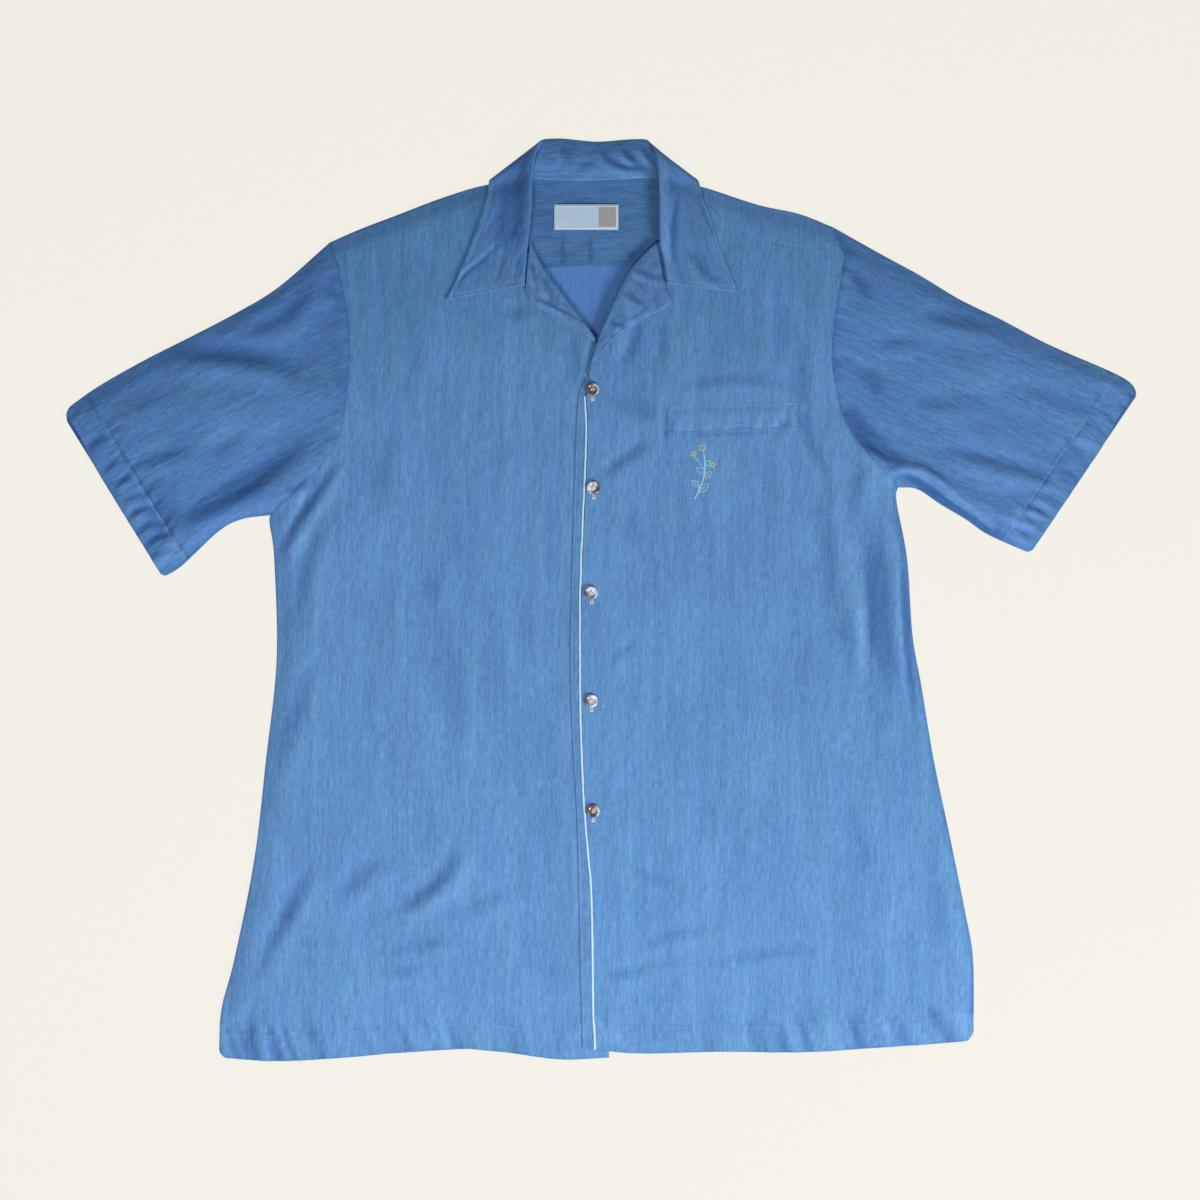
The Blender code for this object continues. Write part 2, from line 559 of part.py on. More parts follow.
right_hole, left_hole = armhole(ARMHOLE_RIGHT), armhole(ARMHOLE_LEFT)
back(right_hole, left_hole)
yoke(right_hole, left_hole)
fronts(right_hole, left_hole)
sleeve("sleeve_right", right_hole, SLEEVE_TOP_RIGHT, SLEEVE_HEM_RIGHT, UNDERARM_RIGHT, 1)
sleeve("sleeve_left", left_hole, SLEEVE_TOP_LEFT, SLEEVE_HEM_LEFT, UNDERARM_LEFT, -1)
lapel("lapel_right", LAPEL_RIGHT, lambda x: 1.0, inside)
lapel("lapel_left", LAPEL_LEFT, over_front, inside)
collar()
front_edge()
laid_rectangle("pocket_band", POCKET, 4, 12, lambda x, y: level(2.15, x, y), chambray)
laid_rectangle("label", LABEL, 4, 7, lambda x, y: level(0, x, y) + LAYER, material("woven label", LABEL_BLUE, 0.7))
buttons()
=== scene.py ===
"""Looks of a short-sleeved camp-collar shirt in blue slub chambray, laid flat with its front up.

Tables and sizes are in millimetres and become metres where a mesh is made. X runs to the wearer's
left, Y to the collar, Z up from the surface. "right" and "left" are the wearer's.
"""

import logging
import math
from dataclasses import dataclass
from enum import Enum
from typing import Callable, Sequence

import bmesh
import bpy
import numpy as np
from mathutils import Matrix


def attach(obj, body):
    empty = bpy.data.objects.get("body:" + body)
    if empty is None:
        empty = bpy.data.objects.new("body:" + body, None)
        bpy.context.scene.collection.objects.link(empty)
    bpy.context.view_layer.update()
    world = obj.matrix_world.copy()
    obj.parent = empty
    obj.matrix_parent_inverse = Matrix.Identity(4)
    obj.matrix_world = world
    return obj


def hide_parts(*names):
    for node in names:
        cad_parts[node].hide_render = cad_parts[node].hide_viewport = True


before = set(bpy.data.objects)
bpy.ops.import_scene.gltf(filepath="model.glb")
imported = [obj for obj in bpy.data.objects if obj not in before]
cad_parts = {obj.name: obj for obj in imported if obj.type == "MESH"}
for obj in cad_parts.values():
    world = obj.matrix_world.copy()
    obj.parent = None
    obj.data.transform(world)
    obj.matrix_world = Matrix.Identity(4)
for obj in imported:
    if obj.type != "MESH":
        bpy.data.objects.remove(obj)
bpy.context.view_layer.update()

log = logging.getLogger("shirt")

Table = tuple[tuple[float, ...], ...]
Colour = tuple[float, float, float]

MM = 0.001
WALL = 0.8  # thickness of one cloth as shown
LAYER = 1.4  # from one layer's middle to the next one's
GAP = 0.3  # between two panels at a seam
BEND = LAYER / 2  # radius of a folded edge's middle
SEAM_ROLL = 0.35  # how far a sewn edge rolls down into its seam
STEP = 3.0  # usual distance between a panel's points
CORNER = 7.5  # radius of the hems' corners
BODY = "root"


class Side(Enum):
    """The wearer's side, as the sign of the way from the armhole into the body."""

    RIGHT = 1
    LEFT = -1


class Grain(Enum):
    """Which way a piece's warp runs in the laid shirt."""

    DOWN = "down"
    ACROSS = "across"
    SLEEVE_RIGHT = "right sleeve"
    SLEEVE_LEFT = "left sleeve"

    def direction(self) -> tuple[float, float]:
        """The warp's direction in plan, as a unit vector."""
        x, y = {
            Grain.DOWN: (0.0, -1.0),
            Grain.ACROSS: (1.0, 0.0),
            Grain.SLEEVE_RIGHT: (-193.0, -101.0),
            Grain.SLEEVE_LEFT: (214.0, -97.0),
        }[self]
        return x / math.hypot(x, y), y / math.hypot(x, y)

    def coordinates(self, plan: np.ndarray) -> np.ndarray:
        """Places across and along the grain.

        Args:
            plan: points, with x and y in the last axis.

        Returns:
            The points' products with the weft's and the warp's directions, in the last axis.
        """
        along_x, along_y = self.direction()
        x, y = plan[..., 0], plan[..., 1]
        return np.stack([x * along_y - y * along_x, x * along_x + y * along_y], axis=-1)


@dataclass(frozen=True)
class Pattern:
    """Edges and seams of one half of the laid shirt, as (x, y) tables."""

    side: Side
    grain: Grain
    shoulder: Table
    sleeve_top: Table
    sleeve_hem: Table
    underarm: Table
    side_seam: Table
    armhole: Table
    yoke_seam: Table
    neckline: Table
    opening: Table
    hem: Table


RIGHT = Pattern(
    side=Side.RIGHT,
    grain=Grain.SLEEVE_RIGHT,
    shoulder=((-229, 303), (-204, 314), (-170, 327), (-136, 340), (-102, 350.5), (-69, 355.5)),
    sleeve_top=((-229, 303), (-272, 265.5), (-306, 244.5), (-345, 224), (-385.5, 203.5), (-426, 180.5),
                (-457, 158.5)),
    sleeve_hem=((-457, 158.5), (-371, 19)),
    underarm=((-279, 72), (-304, 68.5), (-324, 58), (-355, 29), (-371, 19)),
    side_seam=((-279, 72), (-280, 65), (-276, 34), (-274, -51), (-283, -136), (-293, -221), (-310, -306),
               (-321, -349), (-323, -389)),
    armhole=((-229, 303), (-221, 278), (-213, 233), (-213, 192), (-219, 148), (-233, 118), (-255, 95),
             (-279, 72)),
    yoke_seam=((-186, 304), (-158, 309), (-130, 321.5), (-97, 339.5), (-74.5, 345)),
    neckline=((-74.5, 345), (-74, 322), (-71, 309), (-65, 303)),
    opening=((-65, 303), (-33.5, 260.5), (-1.5, 218), (8, 204)),
    hem=((-323, -389), (-272, -392), (-204, -388), (-136, -381), (-85, -384), (-34, -390.5), (8, -389)),
)
LEFT = Pattern(
    side=Side.LEFT,
    grain=Grain.SLEEVE_LEFT,
    shoulder=((198, 316), (170, 327), (136, 334.5), (102, 345.5), (85, 350.5), (62, 355.5)),
    sleeve_top=((198, 316), (238, 293.5), (272, 275), (306, 254.5), (341, 237.5), (382, 216), (443, 189),
                (457.5, 175)),
    sleeve_hem=((457.5, 175), (366, 39.5)),
    underarm=((253, 95.5), (270, 94), (290, 81), (311, 68.5), (331, 55), (366, 39.5)),
    side_seam=((253, 95.5), (252, 83), (261, 34), (265.5, -30), (273, -73), (283.5, -136), (297, -200),
               (310, -264), (317, -306), (317.5, -373)),
    armhole=((198, 316), (207, 293), (203.5, 265), (197, 216), (200, 181.5), (209.5, 150), (225, 127),
             (242, 109), (253, 95.5)),
    yoke_seam=((172, 299.5), (120, 313), (90, 337), (69.5, 344.5)),
    neckline=((69.5, 344.5), (66, 322), (61, 308), (50, 303)),
    opening=((50, 303), (23.5, 275), (7, 240), (-2, 218), (-7, 197), (-11, 174)),
    hem=((-3, -382), (34.5, -385.5), (102.5, -384), (170.5, -384.5), (238.5, -380.5), (306.5, -375.5),
         (317.5, -373)),
)
YOKE_LOWER = ((-127, 271.5), (-2, 283.5), (119, 273))
NECK = ((-69, 355.5), (-57.5, 357.5), (-15, 356.5), (17.5, 357.5), (49, 359), (62, 355.5))
HEM_BACK = ((-321.5, -387), (-204, -386), (-100, -380.5), (0, -381.5), (102, -382.5), (238, -379), (316, -371.5))
YOKE_FRONT_AT = 14.0  # along the armhole from the shoulder, where the yoke's front seam meets it
YOKE_BACK_AT = 50.0


# ---------------------------------------------------------------------------------------------
# Curves and grids in plan
# ---------------------------------------------------------------------------------------------

def through(points: Sequence, places: int | np.ndarray) -> np.ndarray:
    """A smooth curve through points: Catmull-Rom pieces, read by length.

    Args:
        points: the points that the curve passes, of any number of values each.
        places: fractions of the curve's length, or how many even ones.

    Returns:
        One row for each place.
    """
    points = np.asarray(points, float)
    if np.ndim(places) == 0:
        places = np.linspace(0.0, 1.0, places)
    padded = np.vstack([2 * points[0] - points[1], points, 2 * points[-1] - points[-2]])
    a, b, c, d = (padded[i:len(padded) - 3 + i, None] for i in range(4))
    t = np.linspace(0, 1, 24, endpoint=False)[None, :, None]
    runs = ((2 * t**3 - 3 * t**2 + 1) * b + (t**3 - 2 * t**2 + t) * (c - a) / 2
            + (3 * t**2 - 2 * t**3) * c + (t**3 - t**2) * (d - b) / 2)
    return along(np.vstack([runs.reshape(-1, points.shape[1]), points[-1:]]), np.asarray(places))


def along(line: np.ndarray, places: np.ndarray) -> np.ndarray:
    """Points of a dense line at fractions of its length."""
    run = run_down(line)
    return np.stack([np.interp(places * run[-1], run, column) for column in line.T], axis=1)


def run_down(points: np.ndarray) -> np.ndarray:
    """Length run along the first axis, from 0 at its start."""
    step = np.linalg.norm(np.diff(points, axis=0), axis=-1)
    return np.concatenate([np.zeros((1, *step.shape[1:])), np.cumsum(step, axis=0)])


def length_of(points: Sequence) -> float:
    """Length of the smooth curve through points."""
    return float(np.linalg.norm(np.diff(through(points, 300), axis=0), axis=1).sum())


def unit(ways: np.ndarray) -> np.ndarray:
    """Vectors scaled to length 1."""
    return ways / np.linalg.norm(ways, axis=-1, keepdims=True)


def directions(line: np.ndarray) -> np.ndarray:
    """Unit vectors along a plan line, at each of its points."""
    return unit(np.gradient(line, axis=0))


def left_of(way: np.ndarray) -> np.ndarray:
    """Plan vectors turned a quarter to their left."""
    return np.stack([-way[:, 1], way[:, 0]], axis=1)


def shifted(line: np.ndarray, distance: float | np.ndarray) -> np.ndarray:
    """A plan line moved to the left of its direction by a distance."""
    return line + distance * left_of(directions(line))


def joined(*lines: np.ndarray) -> np.ndarray:
    """Lines that follow each other, with each shared end once."""
    return np.vstack([lines[0]] + [line[1:] for line in lines[1:]])


def fractions(line: np.ndarray) -> np.ndarray:
    """How far along a line each of its points lies, from 0 to 1."""
    run = run_down(line)
    return run / run[-1]


def graded(length: float, step: float = STEP, near: float = 0.0, far: float = 0.0,
           fine: tuple[float, ...] = ()) -> np.ndarray:
    """Fractions of a length, closer together where detail needs it.

    The steps grow by half from an end's first one until they reach the usual one, and seven close
    places surround each fine one.

    Args:
        length: the whole length.
        step: the usual step.
        near: the first step from the start, or 0 for none.
        far: the first step from the end, or 0 for none.
        fine: distances from the end with closer steps round them.

    Returns:
        Fractions from 0 to 1, rising.
    """
    growth = 1.5
    places = [np.linspace(0, length, max(2, round(length / step) + 1))]
    for first, from_end in ((near, False), (far, True)):
        if first > 0:
            run = np.cumsum(first * growth ** np.arange(int(math.log(step / first) / math.log(growth)) + 1))
            places.append(length - run if from_end else run)
    for distance in fine:
        places.append(length - distance + np.array([-3.5, -1.8, -0.8, 0, 0.8, 1.8, 3.5]))
    rising = np.unique(np.concatenate(places).clip(0, length))
    smallest = 0.45 * min([step] + [first for first in (near, far) if first > 0] + [0.9] * bool(fine))
    keep = np.concatenate([[True], np.diff(rising) > smallest])
    keep[-1] = True
    return rising[keep] / length


def patch(first: np.ndarray, last: np.ndarray, start: np.ndarray, end: np.ndarray) -> np.ndarray:
    """A plan grid between four lines: the sum of both ruled surfaces, less the one of its corners.

    Args:
        first: the first column, last: the last one, with as many points.
        start: the first row, end: the last one, with as many points.

    Returns:
        Rows from start to end, columns from first to last, and x and y in the last axis.
    """
    u = ((fractions(first) + fractions(last)) / 2)[:, None, None]
    v = ((fractions(start) + fractions(end)) / 2)[None, :, None]
    corners = [(a + b) / 2 for a, b in ((first[0], start[0]), (last[0], start[-1]),
                                        (first[-1], end[0]), (last[-1], end[-1]))]
    ruled = (1 - v) * first[:, None] + v * last[:, None] + (1 - u) * start[None] + u * end[None]
    flat = ((1 - u) * ((1 - v) * corners[0] + v * corners[1])
            + u * ((1 - v) * corners[2] + v * corners[3]))
    return ruled - flat


def rounded(plan: np.ndarray, corner: Sequence, toward: Sequence, other: Sequence, radius: float) -> np.ndarray:
    """A plan grid with one corner rounded, by mapping the corner's square to a quarter disc.

    With s and t as what is left of the radius along the corner's sides, s becomes s times the root
    of 1 less half of t squared, and t the same from s.

    Args:
        plan: the grid.
        corner: the corner.
        toward: a point on one of its sides.
        other: a point on the other side.
        radius: the quarter disc's radius.

    Returns:
        The new grid.
    """
    sides = np.array([np.subtract(end, corner) / math.dist(end, corner) for end in (toward, other)]).T
    u, v = np.moveaxis((plan - corner) @ np.linalg.inv(sides).T, -1, 0)
    near = (np.abs(u) < radius) & (np.abs(v) < radius)
    s, t = (np.where(near, np.clip(1 - w / radius, 0, 1), 0) for w in (u, v))
    moved = np.stack([s - s * np.sqrt(1 - t * t / 2), t - t * np.sqrt(1 - s * s / 2)], axis=-1) * radius
    return plan + moved @ sides.T


def smooth_step(value: np.ndarray | float) -> np.ndarray:
    """0 up to 0, 1 from 1, and an S-curve between them."""
    value = np.clip(value, 0, 1)
    return value * value * (3 - 2 * value)


def bell(value: np.ndarray | float) -> np.ndarray:
    """1 at 0, falling to nothing on both sides."""
    return np.exp(-np.square(value))


def noise(x: np.ndarray, y: np.ndarray, seed: int) -> np.ndarray:
    """Smooth noise from -1 to 1: seeded values on a unit lattice, blended by S-curves.

    Args:
        x: first coordinate, in lattice steps.
        y: second coordinate, in lattice steps.
        seed: chooses the lattice's values.

    Returns:
        The noise at each point.
    """
    lattice = np.random.default_rng(seed).uniform(-1, 1, (64, 64))
    i, j = np.floor(x).astype(int), np.floor(y).astype(int)
    u, v = smooth_step(x - i), smooth_step(y - j)
    corner = {(a, b): lattice[(i + a) % 64, (j + b) % 64] for a in (0, 1) for b in (0, 1)}
    return ((1 - u) * ((1 - v) * corner[0, 0] + v * corner[0, 1])
            + u * ((1 - v) * corner[1, 0] + v * corner[1, 1]))


@dataclass(frozen=True)
class Measured:
    """Points against a line: distance, positive on its right, and the length run along it."""

    distance: np.ndarray
    run: np.ndarray
    length: float


def measured(line: np.ndarray, x: np.ndarray, y: np.ndarray, reach: float) -> Measured:
    """Distance of points from a line, by its nearest stretch.

    Args:
        line: the line's points.
        x: the points' x.
        y: the points' y.
        reach: how far from the line points are measured.

    Returns:
        Their distances, which are infinite out of reach, and the length that the line has run there.
    """
    distance, run = np.full(np.shape(x), np.inf), np.zeros(np.shape(x))
    low, high = line.min(axis=0) - reach, line.max(axis=0) + reach
    near = (x > low[0]) & (x < high[0]) & (y > low[1]) & (y < high[1])
    near_x, near_y = x[near], y[near]
    signed, place, done = np.full(near_x.shape, np.inf), np.zeros(near_x.shape), 0.0
    for (ax, ay), (bx, by) in zip(line[:-1], line[1:]):
        way_x, way_y = bx - ax, by - ay
        length = math.hypot(way_x, way_y)
        t = np.clip(((near_x - ax) * way_x + (near_y - ay) * way_y) / length**2, 0, 1)
        off_x, off_y = near_x - ax - t * way_x, near_y - ay - t * way_y
        off = np.hypot(off_x, off_y)
        closer = off < np.abs(signed)
        signed = np.where(closer, np.where(way_x * off_y - way_y * off_x < 0, off, -off), signed)
        place = np.where(closer, done + t * length, place)
        done += length
    signed[np.abs(signed) > reach] = np.inf
    distance[near], run[near] = signed, place
    return Measured(distance, run, done)


# ---------------------------------------------------------------------------------------------
# How the cloth lies
# ---------------------------------------------------------------------------------------------

@dataclass(frozen=True)
class Crease:
    """One soft fold: a trough along a line, with a ridge beside it on the right of its direction."""

    line: Table
    depth: float
    width: float
    ridge: float = 0.0

    def relief(self, x: np.ndarray, y: np.ndarray) -> np.ndarray:
        """Height that the fold adds: two bells across the line, faded towards its ends.

        Args:
            x: the points' x.
            y: the points' y.

        Returns:
            The height at each point.
        """
        found = measured(through(self.line, 12), x, y, 4 * self.width)
        height, near = np.zeros(np.shape(x)), np.isfinite(found.distance)
        across, share = found.distance[near] / self.width, found.run[near] / found.length
        fade = np.sin(math.pi * np.clip(share, 0.02, 0.98)) ** 0.7
        height[near] = fade * (self.ridge * bell((across - 1.6) / 1.15) - self.depth * bell(across))
        return height


def creases(*rows: tuple[float, ...]) -> tuple[Crease, ...]:
    """Folds from rows of depth, width, ridge, and then each line point's x and y."""
    return tuple(Crease(tuple(zip(row[3::2], row[4::2])), *row[:3]) for row in rows)


def relief_of(folds: Sequence[Crease], x: np.ndarray, y: np.ndarray) -> np.ndarray:
    """Height that several folds add."""
    return sum(fold.relief(x, y) for fold in folds)


def bars(hem: Table, *places: tuple[float, float]) -> tuple[Crease, ...]:
    """Folds across a stitched band.

    Args:
        hem: the band's edge, from its upper end to its lower one.
        places: for each fold, how far from the lower end it lies, and its depth.

    Returns:
        The folds.
    """
    band, width = 24.0, 3.4
    high, low = np.array(hem, float)
    way = (high - low) / np.linalg.norm(high - low)
    inland = np.array([-way[1], way[0]]) * np.sign(-low[0] * -way[1])
    return tuple(Crease(tuple(tuple(low + place * way + end) for end in
                              (1.5 * inland, 0.5 * band * inland + 2 * way, band * inland)),
                        depth, width, 0.8 * depth) for place, depth in places)


CREASES = creases(
    # right sleeve
    (2.9, 9.5, 1.6, -366.5, 215, -285.5, 206.5, -251, 189.5),
    (1.4, 8, 0.6, -302, 226, -266, 243.5, -247.5, 274.5),
    (1.2, 7, 0.7, -399, 115.5, -346, 132.5),
    (0.9, 8, 0.4, -333.5, 125, -299.5, 148),
    (3.4, 11, 0.7, -369, 63.5, -319, 91.5, -281, 113.5, -244, 144),
    (-1.6, 20, 0, -345, 150, -268, 160),
    (0.8, 9, 0.5, -421, 164.5, -351, 180.5),
    (0.9, 5, 0.6, -267, 94.5, -249.5, 100.5, -240.5, 113.5),
    # right side of the body
    (2.3, 5.5, 1.7, -275.5, 35.5, -254.5, 71.5, -224.5, 119.5),
    (1.6, 9, 0.9, -262, -35.5, -250, 37, -232.5, 82),
    (1.3, 8, 0.6, -277, -147, -260, -92.5, -244, -48.5),
    (2.2, 7.5, 1.2, -291.5, -316.5, -274.5, -279, -245.5, -224),
    (2.1, 7.5, 1.6, -176.5, -264.5, -141, -239, -120.5, -207.5),
    (1.3, 9, 0.7, -228.5, -256, -185.5, -214),
    (0.9, 10, 0.4, -131, -144.5, -124.5, -94, -136, -15.5),
    (1, 10, 0.5, -194.5, 85, -176.5, 153),
    (0.7, 9, 0.3, -155, 6.5, -139, 18.5),
    (0.7, 7, 0.3, -160, 239.5, -154, 191.5),
    (0.7, 7, 0.3, -44.5, 86, -44.5, 10),
    (0.7, 6, 0.4, -180.5, -295, -124.5, -285),
    (0.7, 6, 0.4, -187, -313, -148, -311),
    (0.8, 8, 0.4, -119.5, -261.5, -69.5, -241.5),
    (0.5, 9, 0.3, -59, -299, -19, -329),
    (1, 6, 0.5, -21, 186, -25, 232),
    (0.9, 7, 0.4, -82.5, 243.5, -58.5, 247.5),
    (1, 5, 0.6, -239.5, 270.5, -221.5, 255.5),
    # left sleeve
    (1.2, 5.5, 0.5, 211, 283, 229, 260),
    (1.3, 7, 0.9, 270.5, 245, 306.5, 239.5, 342.5, 230.5),
    (1.2, 6, 0.7, 234, 221.5, 268, 219.5),
    (1.8, 7, 0.6, 219, 203, 240, 175),
    (0.6, 8, 0.4, 261.5, 169, 329.5, 174),
    (3.6, 7.5, 1.2, 204.5, 172, 226.5, 141.5, 260.5, 114),
    (1.6, 7.5, 1.1, 282.5, 132, 326.5, 122.5, 387, 103.5),
    (1.8, 5.5, 0.9, 378.5, 56, 338.5, 62.5, 292.5, 90, 256.5, 107.5),
    (0.6, 8, 0.3, 343.5, 185.5, 384, 174.5, 414, 160),
    (0.9, 5, 0.5, 320.5, 80.5, 348.5, 61.5),
    (-1.2, 16, 0, 300, 200, 380, 192),
    # left side of the body
    (1.6, 8.5, 1.8, 237, -104.5, 219.5, -66.5, 200, -9.5, 187.5, 81.5, 173, 151.5),
    (1.1, 6.5, 0.6, 206, 60.5, 219, 120.5),
    (2.4, 5, 1.8, 223, 45, 228, -10, 228, -70),
    (2.6, 2.6, 1.3, 255, 50, 256.5, 0, 260.5, -50, 266.5, -95),
    (1.2, 6, 0.6, 288, -286, 287, -232),
    (0.7, 9, 0.4, 229.5, -228.5, 203.5, -164.5),
    (0.6, 6, 0.5, 62, 184, 120, 190, 166, 184),
    (1, 10, 0.5, 3, 176, 55, 158),
    (0.7, 7, 0.4, 150.5, 260, 150.5, 192),
    (1, 8, 0.6, 170, 146, 171, 232),
    (1.5, 6, 1, 33, 239, 21, 199),
    (1, 6, 0.5, 52, 188, 52, 238),
    (1.4, 6.5, 0.6, -0.5, 106, 41.5, 139),
    (1, 7, 0.4, 23.5, 85, 23.5, 44),
    (0.6, 8, 0.3, 23, 36, 21, -34),
    (0.6, 5.5, 0.4, 0, -55.5, 36, -30.5),
    (0.6, 5.5, 0.4, -0.5, -199.5, 32.5, -229, 62, -241, 61, -262),
    (0.55, 5.5, 0.3, 33, -294, 65, -281, 107.5, -274),
    (0.7, 5.5, 0.5, 1.5, -319, 51.5, -308),
    (0.6, 6, 0.3, 101.5, -303, 179.5, -293),
    (0.5, 9, 0.3, 92.5, 180.5, 96.5, 230.5),
    (1.8, 5, 1.3, 170, 159.5, 177, 139.5, 187, 117.5, 198, 87.5),
    (1, 4, 0.6, 58, 172.5, 54.5, 152, 56.5, 128),
    (0.8, 4, 0.5, 148, 135, 156, 152.5, 155, 164),
    (3.2, 4, 3.4, 336, 57, 315, 70, 297, 82, 278, 99, 263, 105, 252, 101),
    (1.2, 4, 0.8, 245.5, 78, 253, 59.5, 257, 36),
)
CREASES += bars(RIGHT.sleeve_hem, (17, 0.8), (31, 1.5), (43, 1.2), (58, 1.7), (71, 1.1), (88, 1.4), (104, 0.9),
                (127, 1.0))
CREASES += bars(LEFT.sleeve_hem, (11, 1.5), (23, 1.9), (34, 1.6), (48, 0.9), (73, 1.2), (96, 0.8), (121, 0.7))
# painted shade in the steepest folds, and painted shadows along the pocket's edges and ends, used only for painted
# shading
SHADES = creases(
    (1.9, 3.5, 1.4, 334, 56, 312, 71.5, 293, 83, 278, 95, 263, 105, 252, 103),
    (0.75, 5, 0, 207, 170, 211, 157, 225, 132, 257, 111),
    (0.5, 4, 0, 200, 310, 212, 296, 209, 278),
    (0.45, 6, 0, 209, 280, 222, 266, 228, 250),
    (1.4, 9.5, 0, 236, 70, 237, 10, 241, -45, 245, -95),
    (1.2, 3, 0.2, 258, 34, 260, -10, 263.5, -60, 268, -110),
    (1.2, 2.2, 0, 455, 176, 449, 164),
    (0.55, 9, 0, -345, 62, -310, 84, -278, 92),
    (0.7, 2.4, 0.35, -235, 116, -253, 77, -270, 44),
    (0.9, 1.1, 0, 56, 139.6, 113, 140.2, 150, 144),
    (1.3, 1.2, 0, 57.2, 151.5, 57, 145, 57.2, 136),
    (0.8, 1.4, 0, 152.5, 162, 157, 159, 158, 154),
    (0.9, 1.6, 0, 168, 158, 170.5, 150, 171, 144),
)
TUCKS = creases(
    (-0.9, 2.2, 0, -33.6, 308, -33.6, 283),
    (-0.9, 2.2, 0, -10.6, 308, -10.6, 284),
    (-0.4, 3, 0, 20, 296, 28, 286),
)


@dataclass(frozen=True)
class Hem:
    """A turned and stitched edge, with puckers across it that fade above its stitch line."""

    line: Table
    depth: float
    pucker: float
    pitch: float
    seed: int
    groove: float = 0.35
    flatten_over: float = 70.0
    flat_share: float = 0.4

    def measure(self, x: np.ndarray, y: np.ndarray) -> Measured:
        """The points against the hem's edge."""
        return measured(through(self.line, 24), x, y, self.flatten_over)

    def share_of_puff(self, found: Measured) -> np.ndarray:
        """How much of the puff is left near the edge: the flat share there, and all of it inland."""
        return self.flat_share + (1 - self.flat_share) * smooth_step(np.abs(found.distance) / self.flatten_over)

    def puckers(self, found: Measured) -> np.ndarray:
        """Height of the puckers: noise along the hem, in uneven groups, times a bump across it.

        Args:
            found: the points against the edge.

        Returns:
            The height at each point.
        """
        inland = np.abs(found.distance)
        near = inland < 3 * self.depth
        height = np.zeros(inland.shape)
        d, run = inland[near], found.run[near]
        slanted = run + 0.35 * d
        waves = (noise(slanted / self.pitch, d / 60, self.seed)
                 + 0.5 * noise(slanted / (0.45 * self.pitch), d / 40, self.seed + 1))
        groups = 1 + 0.9 * noise(run / 45, 0 * run, self.seed + 2)
        above = bell((d - self.depth) / (0.55 * self.depth))
        height[near] = self.pucker * waves * groups * np.where(d < self.depth, 0.65 + 0.35 * d / self.depth, above)
        return height

    def relief(self, found: Measured) -> np.ndarray:
        """Height of the puckers, less the stitch line's groove."""
        return self.puckers(found) - self.groove * bell((np.abs(found.distance) - self.depth) / 1.5)

    def shade(self, found: Measured) -> np.ndarray:
        """Painted shading of the hem: painted highlight on crests and at the stitched edge, painted shade in hollows
        and at the lower edge.
        """
        inland = np.abs(found.distance)
        edge = bell((inland - self.depth - 1.8) / 1.3) - bell((inland - self.depth + 0.8) / 1.2)
        return 0.85 * self.groove * edge + 0.35 * bell(inland / 1.8) - 0.5 * self.puckers(found)


HEMS = (
    Hem(RIGHT.hem, 21.0, 1.6, 6.5, 11),
    Hem(LEFT.hem, 21.0, 1.3, 6.5, 17),
    Hem(RIGHT.sleeve_hem, 25.0, 1.9, 7.5, 23, 1.1, 45.0, 0.6),
    Hem(LEFT.sleeve_hem, 25.0, 2.0, 7.5, 29, 1.1, 45.0, 0.6),
)


